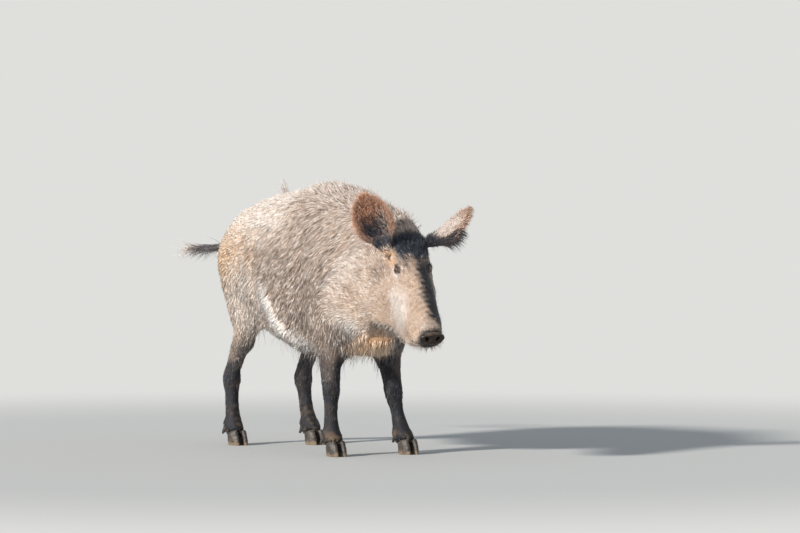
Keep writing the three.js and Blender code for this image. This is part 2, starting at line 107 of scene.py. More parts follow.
left, right = 1, -1
eyeMiddles = {left: middleOf("eye_left"), right: middleOf("eye_right")}
faceOrigin = (eyeMiddles[left] + eyeMiddles[right]) / 2
fore = unit(middleOf("snout_disc") - faceOrigin)
aside = eyeMiddles[left] - eyeMiddles[right]
aside = unit(aside - fore * (aside @ fore))
upward = np.cross(fore, aside)
faceAxes = np.stack([aside, fore, upward])
snoutReach = (middleOf("snout_disc") - faceOrigin) @ fore


# the face's own frame starts between the eyes: to its left, forward to the snout, up
def toFace(points):
    return (points - faceOrigin) @ faceAxes.T


def fromFace(places):
    return faceOrigin + np.asarray(places) @ faceAxes


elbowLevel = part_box("shoulder_left")[0][2]
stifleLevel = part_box("thigh_left")[0][2]
# the boar's own frame starts on the ground, behind the shoulders
bodyOrigin = np.array([0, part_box("shoulder_left")[0][1] + 0.312, 0])


def pointsOf(mesh):
    flat = np.empty(len(mesh.vertices) * 3)
    mesh.vertices.foreach_get("co", flat)
    return flat.reshape(-1, 3)


def normalsOf(mesh):
    flat = np.empty(len(mesh.vertices) * 3, dtype=np.float32)
    mesh.vertex_normals.foreach_get("vector", flat)
    return flat.reshape(-1, 3).astype(float)


def setPoints(mesh, points):
    mesh.vertices.foreach_set("co", points.astype(np.float32).ravel())
    mesh.update()


def edgesOf(mesh):
    flat = np.empty(len(mesh.edges) * 2, dtype=np.int32)
    mesh.edges.foreach_get("vertices", flat)
    return flat.reshape(-1, 2)


def trianglesOf(mesh):
    mesh.calc_loop_triangles()
    corners = np.empty(len(mesh.loop_triangles) * 3, dtype=np.int32)
    mesh.loop_triangles.foreach_get("vertices", corners)
    return corners.reshape(-1, 3)


# Evens out values over a mesh's edges; share may differ from vertex to vertex.
def smoothed(values, edges, rounds, share):
    ends = np.concatenate([edges, edges[:, ::-1]])
    count = len(values)
    degree = np.maximum(np.bincount(ends[:, 0], minlength=count), 1)[:, None]
    share = np.broadcast_to(share, count)[:, None]
    for _ in range(rounds):
        sums = [np.bincount(ends[:, 0], values[ends[:, 1], k], count) for k in range(values.shape[1])]
        values = values + share * (np.stack(sums, axis=1) / degree - values)
    return values


def meshFrom(name, points, faces):
    mesh = bpy.data.meshes.new(name)
    sizes = [np.full(len(group), group.shape[1]) for group in faces]
    corners = np.concatenate([group.ravel() for group in faces]).astype(np.int32)
    starts = np.concatenate([[0], np.cumsum(np.concatenate(sizes))[:-1]]).astype(np.int32)
    mesh.vertices.add(len(points))
    mesh.vertices.foreach_set("co", points.astype(np.float32).ravel())
    mesh.loops.add(len(corners))
    mesh.loops.foreach_set("vertex_index", corners)
    mesh.polygons.add(len(starts))
    mesh.polygons.foreach_set("loop_start", starts)
    mesh.update(calc_edges=True)
    smooth(mesh)
    return mesh


def smooth(mesh):
    mesh.polygons.foreach_set("use_smooth", np.ones(len(mesh.polygons), dtype=bool))


def objectFrom(name, mesh):
    obj = bpy.data.objects.new(name, mesh)
    bpy.context.scene.collection.objects.link(obj)
    return obj


# Puts a finished piece on the boar: what it is painted with and the nodes it stands for.
def placed(name, mesh, material, nodes=()):
    mesh.materials.clear()
    mesh.materials.append(material)
    obj = objectFrom(name, mesh)
    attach(obj, "root")
    if nodes:
        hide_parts(*nodes)
    return obj


def setVectors(mesh, name, values):
    layer = mesh.attributes.new(name, "FLOAT_VECTOR", "POINT")
    layer.data.foreach_set("vector", values.astype(np.float32).ravel())


def modified(obj):
    evaluated = obj.evaluated_get(bpy.context.evaluated_depsgraph_get())
    return bpy.data.meshes.new_from_object(evaluated)


# Rings of points, each (count, 3), joined into a closed body.
def loftMesh(name, rings):
    rings = np.array(rings)
    rows, around = rings.shape[:2]
    middles = np.stack([rings[0].mean(axis=0), rings[-1].mean(axis=0)])
    points = np.concatenate([rings.reshape(-1, 3), middles])
    r, i = np.meshgrid(np.arange(rows - 1), np.arange(around), indexing="ij")
    j = (i + 1) % around
    quads = np.stack([r * around + i, r * around + j, (r + 1) * around + j, (r + 1) * around + i], axis=-1)
    i, j = i[0], j[0]
    last = (rows - 1) * around
    caps = np.concatenate([
        np.stack([j, i, np.full(around, rows * around)], axis=1),
        np.stack([last + i, last + j, np.full(around, rows * around + 1)], axis=1),
    ])
    mesh = meshFrom(name, points, [quads.reshape(-1, 4), caps])
    shape = bmesh.new()
    shape.from_mesh(mesh)
    bmesh.ops.recalc_face_normals(shape, faces=shape.faces)
    shape.to_mesh(mesh)
    shape.free()
    return mesh


def joinedWith(obj, meshes):
    for mesh in meshes:
        other = objectFrom("other", mesh)
        change = obj.modifiers.new("join", "BOOLEAN")
        change.operation = "UNION"
        change.solver = "MANIFOLD"
        change.object = other
        result = modified(obj)
        obj.modifiers.clear()
        obj.data = result
        bpy.data.objects.remove(other)


# A smooth closed copy of CAD nodes, made of even small faces.
def remeshed(nodes, grow, voxel):
    whole = bmesh.new()
    for name in nodes:
        piece = bmesh.new()
        piece.from_mesh(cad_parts[name].data)
        bmesh.ops.remove_doubles(piece, verts=piece.verts, dist=2e-6)
        piece.normal_update()
        for vertex in piece.verts:
            vertex.co += vertex.normal * grow
        mesh = bpy.data.meshes.new(name)
        piece.to_mesh(mesh)
        piece.free()
        whole.from_mesh(mesh)
    mesh = bpy.data.meshes.new("remeshed")
    whole.to_mesh(mesh)
    whole.free()
    obj = objectFrom("remeshed", mesh)
    change = obj.modifiers.new("voxels", "REMESH")
    change.mode = "VOXEL"
    change.voxel_size = voxel
    result = modified(obj)
    bpy.data.objects.remove(obj)
    return result


# share of the length, half width, depth of the hollow, thickness
earRows = [
    (-0.30, 0.014, 0.006, 0.014),
    (-0.14, 0.017, 0.010, 0.013),
    (0.05, 0.029, 0.022, 0.010),
    (0.26, 0.043, 0.027, 0.0060),
    (0.48, 0.045, 0.019, 0.0048),
    (0.70, 0.037, 0.011, 0.0042),
    (0.88, 0.022, 0.006, 0.0038),
    (0.98, 0.005, 0.002, 0.0030),
]
earShape = {
    left: {
        "root": fromFace((0.058, -0.0784, 0.0373)),
        "along": np.array([0.100, -0.044, 0.082]),
        "opening": np.array([0.63, 0.12, -0.77]),
    },
    right: {
        "root": fromFace((-0.070, -0.0763, 0.0354)),
        "along": np.array([-0.060, 0.013, 0.123]),
        "opening": np.array([-0.50, -0.84, -0.10]),
    },
    "around": 40,
    "rings": 34,
    "ridge": 0.0011,  # the folds inside the hollow
}


def earAxes(which):
    ear = earShape[which]
    across = unit(np.cross(ear["opening"], ear["along"]))
    facing = unit(np.cross(ear["along"], across))
    return across, facing


def earMesh(which):
    ear = earShape[which]
    across, facing = earAxes(which)
    shares = np.linspace(earRows[0][0], earRows[-1][0], earShape["rings"])
    angles = np.arange(earShape["around"]) / earShape["around"] * 2 * math.pi
    rings = []
    for share, (halfWidth, hollow, thick) in zip(shares, through(earRows, shares)):
        t = np.cos(angles)
        inner = np.maximum(np.sin(angles), 0)
        fold = earShape["ridge"] * inner * np.sin(t * 11 + 0.6) * (1 - abs(2 * share - 0.7))
        depth = hollow * t * t + thick / 2 * np.sin(angles) + fold
        middle = ear["root"] + share * ear["along"]
        rings.append(middle + np.outer(halfWidth * t, across) + np.outer(depth, facing))
    return loftMesh("ear", rings)


# Where points lie in an ear: share of its length, place across from -1 to 1, height over its middle sheet.
def earPlace(points, which):
    ear = earShape[which]
    across, facing = earAxes(which)
    away = points - ear["root"]
    along = ear["along"]
    share = away @ along / (along @ along)
    halfWidth, hollow, _ = through(earRows, np.clip(share, earRows[0][0], earRows[-1][0])).T
    t = (away @ across) / halfWidth
    return share, t, away @ facing - hollow * t * t


# 1 on an ear's free part, 0 elsewhere
def earShare(points, which):
    share, t, height = earPlace(points, which)
    return ramp(share, 0.02, 0.14) * (1 - ramp(abs(t), 1.15, 1.4)) * (1 - ramp(abs(height), 0.010, 0.016))


tailShape = {
    "root": bodyOrigin + np.array([-0.001, 0.452, 0.578]),
    "swing": math.radians(20),
    "length": 0.245,
    # share of the length, radius, droop
    "rows": [
        (0, 0.022, 0), (0.16, 0.016, 0.004), (0.4, 0.0095, 0.012), (0.7, 0.0075, 0.019), (1, 0.0035, 0.022),
    ],
    "around": 18,
    "rings": 26,
}
tailWay = np.array([-math.sin(tailShape["swing"]), math.cos(tailShape["swing"]), 0.0])


def tailPoint(share):
    droop = through(tailShape["rows"], share)[:, 1:2]
    return tailShape["root"] + share[:, None] * tailShape["length"] * tailWay - droop * np.array([0, 0, 1.0])


def tailMesh():
    shares = np.linspace(0, 1, tailShape["rings"])
    radii = through(tailShape["rows"], shares)[:, 0]
    angles = np.arange(tailShape["around"]) / tailShape["around"] * 2 * math.pi
    ring = np.stack([np.cos(angles), np.zeros_like(angles), np.sin(angles)], axis=1)
    return loftMesh("tail", tailPoint(shares)[:, None, :] + ring[None] * radii[:, None, None])


# share of the tail's length at points on it, below 0 off it
def tailShare(points):
    away = points - tailShape["root"]
    share = away @ tailWay / tailShape["length"]
    middle = tailPoint(np.clip(share, 0, 1))
    near = np.linalg.norm(points - middle, axis=1) < 0.024
    return np.where(near & (share > 0.12), share, -1)


# 1 on the head, fading out behind the ears and under the jaw
def headShare(points):
    _, ahead, above = toFace(points).T
    return ramp(ahead, -0.17, -0.09) * ramp(above, -0.26, -0.20)


# 1 on the legs below the elbow and the stifle
def legShare(points):
    top = np.where(points[:, 1] < bodyOrigin[1], elbowLevel + 0.055, stifleLevel + 0.035)
    return 1 - ramp(points[:, 2], top - 0.06, top + 0.03)


# how deep the skin lies under the tips of the coat
def coatDepth(points):
    x, y, z = (points - bodyOrigin).T
    _, ahead, above = toFace(points).T
    depth = np.full(len(points), 0.0070)
    depth += 0.008 * ramp(z, 0.62, 0.72) * (1 - ramp(abs(x), 0.03, 0.10)) * ramp(y, -0.48, -0.3)
    depth = blend(depth, 0.0025 + 0.002 * ramp(z, 0.10, 0.28), legShare(points))
    face = 0.0018 + 0.003 * ramp(-ahead, -0.16, 0.05)
    face += 0.004 * ramp(above, 0.0, 0.03) * ramp(-ahead, -0.03, 0.06)
    depth = blend(depth, face, headShare(points))
    depth = blend(depth, 0.0012, 1 - ramp(eyeDistance(points), 0.016, 0.034))
    return blend(depth, -0.0045, 1 - ramp(dewclawDistance(points), 0.016, 0.036))


def eyeDistance(points):
    return np.minimum(*[np.linalg.norm(points - middle, axis=1) for middle in eyeMiddles.values()])


dewclawMiddles = [middleOf(name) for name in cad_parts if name.startswith("dewclaw")]


def dewclawDistance(points):
    return np.min([np.linalg.norm(points - middle, axis=1) for middle in dewclawMiddles], axis=0)


# centre in the face's frame (side, ahead, up), size of the rise, how far it stands out
faceRises = [
    ((0.036, -0.004, 0.030), 0.014, 0.0035),  # brow
    ((0.056, 0.040, -0.044), 0.024, 0.0035),  # cheekbone
    ((0.040, 0.040, 0.002), 0.015, -0.0035),  # tear hollow
    ((0.060, -0.020, -0.110), 0.042, 0.0060),  # cheek muscle
    ((0.056, 0.085, -0.085), 0.030, -0.0035),  # hollow ahead of the cheek
    ((0.032, 0.185, -0.022), 0.020, 0.0030),  # upper lip over the tusk
    ((0.024, 0.120, 0.028), 0.015, -0.0022),  # side of the bridge
    ((0.020, 0.236, 0.020), 0.012, 0.0022),  # rim above the nostril
    ((0.034, 0.150, -0.075), 0.018, 0.0028),  # lower lip
]
# centre and size in the boar's frame, given for the left side, and how far it stands out
bodyRises = [
    ((0.120, -0.215, 0.500), (0.05, 0.09, 0.13), 0.010),  # shoulder
    ((0.150, -0.110, 0.470), (0.05, 0.035, 0.16), -0.008),  # hollow behind the shoulder
    ((0.110, -0.260, 0.350), (0.06, 0.05, 0.07), 0.006),  # upper arm
    ((0.130, -0.150, 0.300), (0.05, 0.04, 0.05), -0.008),  # elbow fold
    ((0.130, 0.310, 0.520), (0.06, 0.09, 0.13), 0.008),  # haunch
    ((0.150, 0.165, 0.430), (0.05, 0.028, 0.10), -0.009),  # hollow of the flank
    ((0.130, 0.105, 0.360), (0.05, 0.022, 0.05), -0.006),  # hollow behind the fold
    ((0.085, 0.420, 0.540), (0.05, 0.05, 0.06), 0.005),  # seat
    ((0.000, 0.205, 0.715), (0.12, 0.10, 0.07), 0.013),  # loins
    ((0.000, -0.320, 0.300), (0.06, 0.05, 0.05), 0.005),  # brisket
    ((0.100, -0.345, 0.520), (0.05, 0.03, 0.12), -0.005),  # crease before the shoulder
    ((0.100, -0.420, 0.480), (0.06, 0.04, 0.12), 0.005),  # side of the neck
]
# how far ahead of the eyes, and the height there of the line where the lips meet and of the jaw's edge
lipLine = [(0.120, -0.030), (0.142, -0.034), (0.190, -0.044), (0.235, -0.042), (0.262, -0.036)]
jawEdge = [(-0.06, -0.188), (0.0, -0.187), (0.060, -0.167), (0.158, -0.117), (0.225, -0.070), (0.262, -0.030)]
# how far back, and the height there of the pale fold from the belly up to the flank
foldLine = [
    (-0.18, 0.285), (-0.05, 0.310), (0.020, 0.342), (0.040, 0.375),
    (0.066, 0.415), (0.10, 0.462), (0.15, 0.51),
]


# height of such a line at places along it, level past its ends
def heightOn(line, places):
    return through(line, np.clip(places, line[0][0], line[-1][0]))[:, 0]


# Lengths are in the face's frame: "from" and "to" are ahead of the eyes, and "high" is how far it stands out.
faceForm = {
    "mouth": {"from": (0.128, 0.150), "wide": 0.0026, "high": -0.0044},
    "lip": {"over": 0.007, "wide": 0.0045, "high": 0.0018},
    "wrinkles": {
        "from": (0.185, 0.222), "to": (0.243, 0.254), "up": (-0.012, 0.012), "step": 0.012, "high": 0.0005,
    },
    "throat": {"from": (-0.035, 0.010), "to": (0.11, 0.18), "high": -0.024},
    "throatDepth": ((0.002, 0.020), (0.040, 0.100)),  # below the jaw's edge
    "jaw": {"from": (-0.02, 0.03), "to": (0.19, 0.24), "over": 0.012, "wide": 0.016, "high": 0.0085},
    "middle": (0.072, 0.098),  # aside, where throat and jaw fade out
}
foldForm = {"from": (-0.10, 0.00), "to": (0.03, 0.12), "under": 0.034, "wide": 0.042, "high": 0.012}
hideForm = {"wave": 0.11, "high": 0.0012}  # slow unevenness of the whole hide


def faceRise(points):
    near = headShare(points) > 0
    mirrored = toFace(points)
    mirrored[:, 0] = abs(mirrored[:, 0])
    beside, ahead, above = mirrored.T
    rise = np.zeros(len(points))
    for centre, size, height in faceRises:
        away = np.linalg.norm(mirrored[near] - np.array(centre), axis=1) / size
        rise[near] += height * np.exp(-away * away)
    mouth, lip = faceForm["mouth"], faceForm["lip"]
    over = above - heightOn(lipLine, ahead)
    share = between(ahead, mouth["from"], (snoutReach - 0.008, snoutReach)) * near
    rise += mouth["high"] * ridge(over, mouth["wide"]) * share
    rise += lip["high"] * ridge(over - lip["over"], lip["wide"]) * share
    wrinkles = faceForm["wrinkles"]
    share = between(ahead, wrinkles["from"], wrinkles["to"]) * ramp(above, *wrinkles["up"])
    bent = ahead + 0.3 * above + 0.004 * ripple(points, 0.03, 6)
    rise += wrinkles["high"] * np.sin(bent * 2 * math.pi / wrinkles["step"]) * share
    throat, jaw = faceForm["throat"], faceForm["jaw"]
    over = above - heightOn(jawEdge, ahead)
    middle = (1 - ramp(beside, *faceForm["middle"])) * near
    share = between(-over, *faceForm["throatDepth"]) * between(ahead, throat["from"], throat["to"])
    rise += throat["high"] * share * middle
    share = ridge(over - jaw["over"], jaw["wide"]) * between(ahead, jaw["from"], jaw["to"])
    return rise + jaw["high"] * share * middle


# pushes that shape the skin along its normals
def skinRises(points):
    rise = faceRise(points)
    body = points - bodyOrigin
    body[:, 0] = abs(body[:, 0])
    for centre, sizes, height in bodyRises:
        away = np.linalg.norm((body - np.array(centre)) / np.array(sizes), axis=1)
        rise += height * np.exp(-away * away)
    flank, y, z = body.T
    under = z - heightOn(foldLine, y) + foldForm["under"]
    fold = ridge(under, foldForm["wide"]) * between(y, foldForm["from"], foldForm["to"])
    rise += foldForm["high"] * fold * ramp(flank, 0.04, 0.08)
    bulk = 1 - np.maximum(headShare(points), legShare(points))
    return rise + hideForm["high"] * ripple(points, hideForm["wave"], 5) * bulk


eyeShape = {
    "radius": (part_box("eye_left")[1][0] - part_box("eye_left")[0][0]) / 2,
    "outward": (0.76, 0.46, 0.46),  # where the left eye looks, in the face's frame
    "halfOpening": (0.0092, 0.0072),  # along and across the slit
    "slant": math.radians(-22),  # the slit's front corner is lower
    "lid": 0.0022,
    "cornea": 0.0009,
    "around": 56,
    "rings": 44,
}


def eyeAxes(which):
    outward = unit(np.array(eyeShape["outward"]) * [which, 1, 1]) @ faceAxes
    along = unit(fore - outward * (fore @ outward))
    over = np.cross(outward, along)
    over *= np.sign(over @ upward)
    turn = eyeShape["slant"]
    slitWay = along * math.cos(turn) + over * math.sin(turn)
    return outward, slitWay, over * math.cos(turn) - along * math.sin(turn)


# How far points lie outside an eye's slit, measured over the eyeball; below 0 inside it.
def slitDistance(points, which):
    outward, along, over = eyeAxes(which)
    ways = unit(points - eyeMiddles[which])
    a, b = (ways @ along) * eyeShape["radius"], (ways @ over) * eyeShape["radius"]
    halfLong, halfHigh = eyeShape["halfOpening"]
    pointed = halfHigh * np.maximum(1 - (a / halfLong) ** 2, 0) ** 0.8
    slit = np.where(abs(a) < halfLong, abs(b) - pointed, np.hypot(abs(a) - halfLong, b))
    return np.where(ways @ outward > 0, slit, eyeShape["radius"])


lidShape = {
    "around": 0.034,  # how far from the eye's middle the skin is moved
    "gap": 0.0007,
    "rim": (0.0016, 0.0030),  # how far outside the slit the lid is thickest, and its width
    "sink": (0.0035, 0.0012),  # depth of the skin inside the slit, and how soon it gets there
    "hold": (0.0035, 0.012),  # where the lid leaves the ball
    "fold": (0.0068, 0.0016, 0.0011),  # how far outside the slit the fold is, its width and depth
}


# Shapes the lids: inside the slit the skin sinks behind the eyeball, and round it the lid lies on the ball.
def withLids(points):
    radius, lid = eyeShape["radius"], eyeShape["lid"]
    rimAt, rimWide = lidShape["rim"]
    sinkDepth, sinkReach = lidShape["sink"]
    foldAt, foldWide, foldDepth = lidShape["fold"]
    for which, middle in eyeMiddles.items():
        near = np.linalg.norm(points - middle, axis=1) < lidShape["around"]
        away = points[near] - middle
        distance = np.linalg.norm(away, axis=1)
        slit = slitDistance(points[near], which)
        edge = radius + lidShape["gap"] + lid * ridge(slit - rimAt, rimWide)
        target = np.where(slit < 0, radius - sinkDepth * ramp(-slit, 0, sinkReach), edge)
        hold = 1 - ramp(slit, *lidShape["hold"])
        moved = np.where(slit < lidShape["hold"][1], distance + (target - distance) * hold, distance)
        fold = foldDepth * ridge(slit - foldAt, foldWide)
        points[near] = middle + unit(away) * (moved - fold)[:, None]
    return points


skinShape = {
    "closeGap": 0.0009,  # each piece grows by this, so that neighbours meet
    "voxel": 0.005,
    "rounds": 64,
    "bulkShare": 0.5,  # how strongly the trunk is evened out
    "slimShare": 0.12,  # and the legs and head
    "lowest": 0.020,
}
apart = ("claw", "dewclaw", "eye", "snout_disc")
fleshNodes = [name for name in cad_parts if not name.startswith(apart)]


# Cuts the faces whose middles are chosen into four.
def refined(mesh, chosen):
    shape = bmesh.new()
    shape.from_mesh(mesh)
    inside = chosen(np.array([face.calc_center_median() for face in shape.faces]))
    edges = {edge for face, keep in zip(shape.faces, inside) if keep for edge in face.edges}
    bmesh.ops.subdivide_edges(shape, edges=list(edges), cuts=1, use_grid_fill=True)
    shape.to_mesh(mesh)
    shape.free()


def onHead(points):
    return headShare(points) > 0.4


def nearEyes(points):
    return eyeDistance(points) < 0.030


def buildSkin():
    massNodes = [name for name in fleshNodes if not name.startswith(("ear", "tail"))]
    mesh = remeshed(massNodes, skinShape["closeGap"], skinShape["voxel"])
    points = pointsOf(mesh)
    slim = np.maximum(headShare(points), legShare(points))
    share = blend(skinShape["bulkShare"], skinShape["slimShare"], slim)
    setPoints(mesh, smoothed(points, edgesOf(mesh), skinShape["rounds"], share))
    print("skin: flesh joined,", len(points), "points")
    refined(mesh, onHead)
    refined(mesh, nearEyes)
    points = pointsOf(mesh)
    setPoints(mesh, smoothed(points, edgesOf(mesh), 3, 0.4 * ramp(headShare(points), 0.3, 0.6)))
    points = pointsOf(mesh)
    points = points + normalsOf(mesh) * (skinRises(points) - coatDepth(points))[:, None]
    points[:, 2] = np.maximum(points[:, 2], skinShape["lowest"])
    setPoints(mesh, withLids(points))
    obj = objectFrom("skinDraft", mesh)
    joinedWith(obj, [earMesh(left), earMesh(right), tailMesh()])
    mesh = obj.data
    bpy.data.objects.remove(obj)
    smooth(mesh)
    print("skin: ears and tail joined,", len(mesh.polygons), "faces")
    return mesh


# slow and fine unevenness of the colours
def mottleAt(points):
    return ripple(points, 0.07, 11)


def grainAt(points):
    return ripple(points, 0.022, 12)


# Patches of colour: centre, how far they reach each way, how soft the edge is.
bodyPatches = {
    "chest": ((-0.032, -0.325, 0.296), (0.064, 0.080, 0.080), 0.3),
    "breast": ((0, -0.30, 0.325), (0.13, 0.09, 0.05), 0.6),
}
# the same, over the whole width of the body
flankPatches = {
    "neck": ((0, -0.345, 0.44), (1, 0.060, 0.11), 0.7),
    "thigh": ((0, 0.24, 0.42), (1, 0.11, 0.11), 0.7),
    "elbow": ((0, -0.125, 0.40), (1, 0.04, 0.10), 0.7),
}
# the same, in the face's frame
facePatches = {
    "cheek": ((0.048, 0.104, -0.056), (0.048, 0.058, 0.048), 0.9),
    "snoutTop": ((0.002, 0.232, 0.022), (0.024, 0.016, 0.018), 0.4),
    "earBase": ((0.057, -0.043, 0.004), (0.026, 0.028, 0.026), 0.4),
    "behindEye": ((0.074, -0.040, -0.050), (0.022, 0.024, 0.050), 0.7),
    "brow": ((0.028, 0.000, 0.026), (0.028, 0.032, 0.020), 0.7),
}
earPitShape = {"along": 0.02, "sizes": (0.036, 0.036, 0.034), "edge": 0.25}


def bodyPatch(points, name):
    centre, sizes, edge = bodyPatches[name]
    return blob(points, bodyOrigin + np.array(centre), sizes, edge)


def flankPatch(points, name):
    return blob(points * [0, 1, 1], *flankPatches[name])


# dark, tan and pale hair and mud on the body and legs
def bodyMarks(points):
    x, y, z = (points - bodyOrigin).T
    flank, legs = abs(x), legShare(points)
    mottle, grain = mottleAt(points), grainAt(points)
    chest, thigh = bodyPatch(points, "chest"), flankPatch(points, "thigh")
    # dark under the jaw on the left side only: partly dark throat hair, partly painted shade of the far side
    # under the jaw
    throatHairAndShade = ramp(x, 0.000, 0.032) * (1 - ramp(y, -0.27, -0.20)) * (1 - ramp(z, 0.40, 0.47))

    tan = ramp(y + 0.03 * mottle, 0.06, 0.38) * ramp(z, 0.38, 0.54)  # rump
    # top of the loin and rump lighter: tan hair, partly painted light on the upward-facing back
    tan = np.maximum(tan, 0.6 * ramp(z + 0.02 * mottle, 0.56, 0.68) * ramp(y, -0.08, 0.12))  # loin
    tan = np.maximum(tan, 0.35 * ramp(y, 0.20, 0.34))  # ham
    tan = np.maximum(tan, 0.42 * thigh)

    over = z - heightOn(foldLine, y)
    pale = 1.2 * (1 - ramp(over, 0.010, 0.040)) * between(y, (-0.16, -0.04), (0.08, 0.15))  # fold
    pale *= ramp(flank, 0.03, 0.07) * ramp(over, -0.10, -0.05)
    pale = np.maximum(pale, 0.9 * (1 - ramp(z, 0.32, 0.37)) * between(y, (-0.1, 0.0), (0.2, 0.3)))  # belly
    pale = np.maximum(pale, 0.85 * flankPatch(points, "neck"))
    pale = np.maximum(pale, 0.05 * ramp(z, 0.60, 0.70) * (1 - ramp(y, -0.05, 0.1)))  # withers
    # top of the loin and rump paler: pale hair, partly painted light on the upward-facing back
    pale = np.maximum(pale, 0.62 * ramp(y, -0.06, 0.10) * ramp(z, 0.55, 0.66))  # loin
    pale = np.maximum(pale, 0.48 * thigh)

    dark = 0.16 * flankPatch(points, "elbow")
    dark = np.maximum(dark, 0.45 * bodyPatch(points, "breast"))
    dark = np.maximum(dark, 0.5 * (1 - ramp(z, 0.27, 0.33)) * (1 - ramp(y, -0.20, -0.12)))  # between the arms

    shin = 1 - ramp(z + 0.02 * mottle, np.where(y < 0, 0.21, 0.18), np.where(y < 0, 0.34, 0.32))
    # the legs' inner sides darker: partly dark hair, partly painted shade between the legs
    inner = 1 - ramp(flank, 0.07, 0.11)
    dark = blend(dark, np.clip(0.36 + 0.62 * shin + 0.25 * inner, 0, 0.99), legs)
    tan = blend(tan, 0.25 * (1 - shin), legs)
    pale = blend(pale, 0.10 * (1 - shin), legs)
    splashed = (1 - ramp(z, 0.19, 0.27)) * ramp(0.7 * mottle + grain, -0.2, 1.6)
    mud = legs * (0.02 + np.where(y < 0, 0.12, 0.34) * splashed)
    mud = np.maximum(mud, 0.55 * (1 - ramp(z, 0.045, 0.085)) * ramp(mottle + grain, -0.2, 1.2))  # pasterns

    # painted shade and dark hair under the jaw, on the left side
    dark = np.maximum(dark, 0.80 * throatHairAndShade * (0.85 + 0.25 * grain) * ramp(z, 0.24, 0.28))
    dark *= 1 - chest
    return dark, np.maximum(tan, chest), pale * (1 - np.maximum(chest, throatHairAndShade)), mud


# dark, tan and pale hair and mud on the face, and painted shade in the pit under the right ear
def faceMarks(points):
    side, ahead, above = toFace(points).T
    mottle, grain = mottleAt(points), grainAt(points)
    places = np.stack([side, ahead, above], axis=1)
    mirrored = np.stack([abs(side), ahead, above], axis=1)
    snoutTop = blob(places, *facePatches["snoutTop"])
    cheek, earBase, behindEye, brow = (
        blob(mirrored, *facePatches[name]) for name in ("cheek", "earBase", "behindEye", "brow"))

    # the black cap of dark hair, and the left half of the bridge painted black: mostly painted shade of the
    # face's far side, partly dark hair
    crown = ramp(above + 0.006 * grain, 0.004, 0.030) * ramp(ahead, -0.104, -0.088)
    crown *= 1 - ramp(ahead + 0.012 * grain - 0.5 * side, -0.024, 0.030)
    crown *= ramp(side, -0.056, -0.038)
    # painted shade down the left half of the bridge, partly dark hair
    bridgeShadeAndHair = ramp(side + 0.006 * grain, -0.015, 0.015) * ramp(above, -0.040, 0.014)
    bridgeShadeAndHair *= between(ahead, (-0.030, 0.03), (0.215, 0.25))
    dark = np.maximum(crown, 0.97 * bridgeShadeAndHair)

    # the throat, partly dark hair and partly painted shadow under the jaw, the parted lips and the snout's
    # end
    overJaw = above - heightOn(jawEdge, ahead)
    # painted shadow under the jaw's edge, partly dark throat hair
    throat = (1 - ramp(overJaw, -0.012, 0.000)) * ramp(ahead, -0.035, 0.0) * (1 - bodyPatch(points, "chest"))
    throat *= 1 - ramp(abs(side), 0.072, 0.095)
    dark = np.maximum(dark, 0.72 * throat * (0.85 + 0.25 * grain))
    overLip = above - heightOn(lipLine, ahead)
    mouth = between(ahead, (0.12, 0.15), (0.255, 0.262))
    # the line where the lips part is darkened: painted shade in the mouth's groove, over dark lip skin
    parting = ridge(overLip, 0.0050) * mouth * (0.35 + 0.5 * ramp(ahead, 0.17, 0.23))
    dark = np.maximum(dark, parting * (1 + 0.4 * grain))
    lips = ridge(overLip + 0.004, 0.009) * ramp(ahead, 0.16, 0.20) * mouth
    dark = np.maximum(dark, 0.65 * lips * ramp(grain, -0.6, 0.4))
    dark = np.maximum(dark, 0.85 * ramp(ahead, snoutReach - 0.020, snoutReach - 0.008))
    dark = np.maximum(dark, 0.22 * (1 - ramp(overLip, -0.014, -0.002)) * ramp(ahead, 0.05, 0.11))

    # the pale cheek, the light stripe on the jaw's edge (pale hair with a painted highlight), the top of the
    # snout and the lids
    pale = 0.90 * cheek * (1 - ramp(ahead, 0.150, 0.195))
    # painted highlight along the jaw's edge, over pale hair
    pale = np.maximum(pale, 0.38 * ridge(overJaw - 0.004, 0.006) * ramp(ahead, -0.02, 0.03))
    dark *= 1 - 0.8 * snoutTop
    pale = np.maximum(pale, 0.9 * snoutTop * ramp(grain, -0.6, 0.3))
    lids = (1 - ramp(eyeDistance(points), 0.016, 0.024)) * ramp(-above, -0.008, 0.010)
    pale = np.maximum(pale, 0.8 * lids)
    tan = 0.24 * ramp(ahead, -0.12, -0.02) * (1 - pale) * (1 + 0.5 * mottle)
    dark = np.maximum(dark, 0.22 * ramp(grain + 0.6 * mottle, 0.1, 1.1))
    pale = np.maximum(pale, 0.08 * ramp(ahead, -0.14, -0.04))

    # the tan ear base, the brown behind the eye and the brow
    tan = np.maximum(tan, 0.9 * earBase)
    dark *= 1 - 0.8 * earBase * (side < 0)
    tan = np.maximum(tan, 0.55 * behindEye)
    dark = np.maximum(dark, 0.42 * behindEye)
    dark = np.maximum(dark, 0.75 * brow * ramp(eyeDistance(points), 0.020, 0.032) * ramp(grain, -0.5, 0.4))
    # painted shade in the hollow at the right ear's root
    pitMiddle = earShape[right]["root"] + earPitShape["along"] * earShape[right]["along"]
    pit = blob(points, pitMiddle, earPitShape["sizes"], earPitShape["edge"])
    return dark, tan * (1 - dark), pale * (1 - dark), 0.5 * snoutTop, pit * (1 - 0.85 * earBase)


# shares of an ear's half width (across) and length (along) between which each mark comes in or fades out
earMarks = {
    "rim": ((0.55, 0.95), (0.62, 0.9)),  # across, and along towards the tip
    "hollow": ((0.34, 0.70), (0.66, 0.94)),  # along, and across
    "lower": ((0.55, 0.95), (0.22, 0.46)),  # across, and along
    # the left ear's darker lower edge is mostly painted shade under the ear; the right's is dark hair
    "lowerDarkAndShade": {left: 0.85, right: 0.35},  # how dark the lower edge is
}


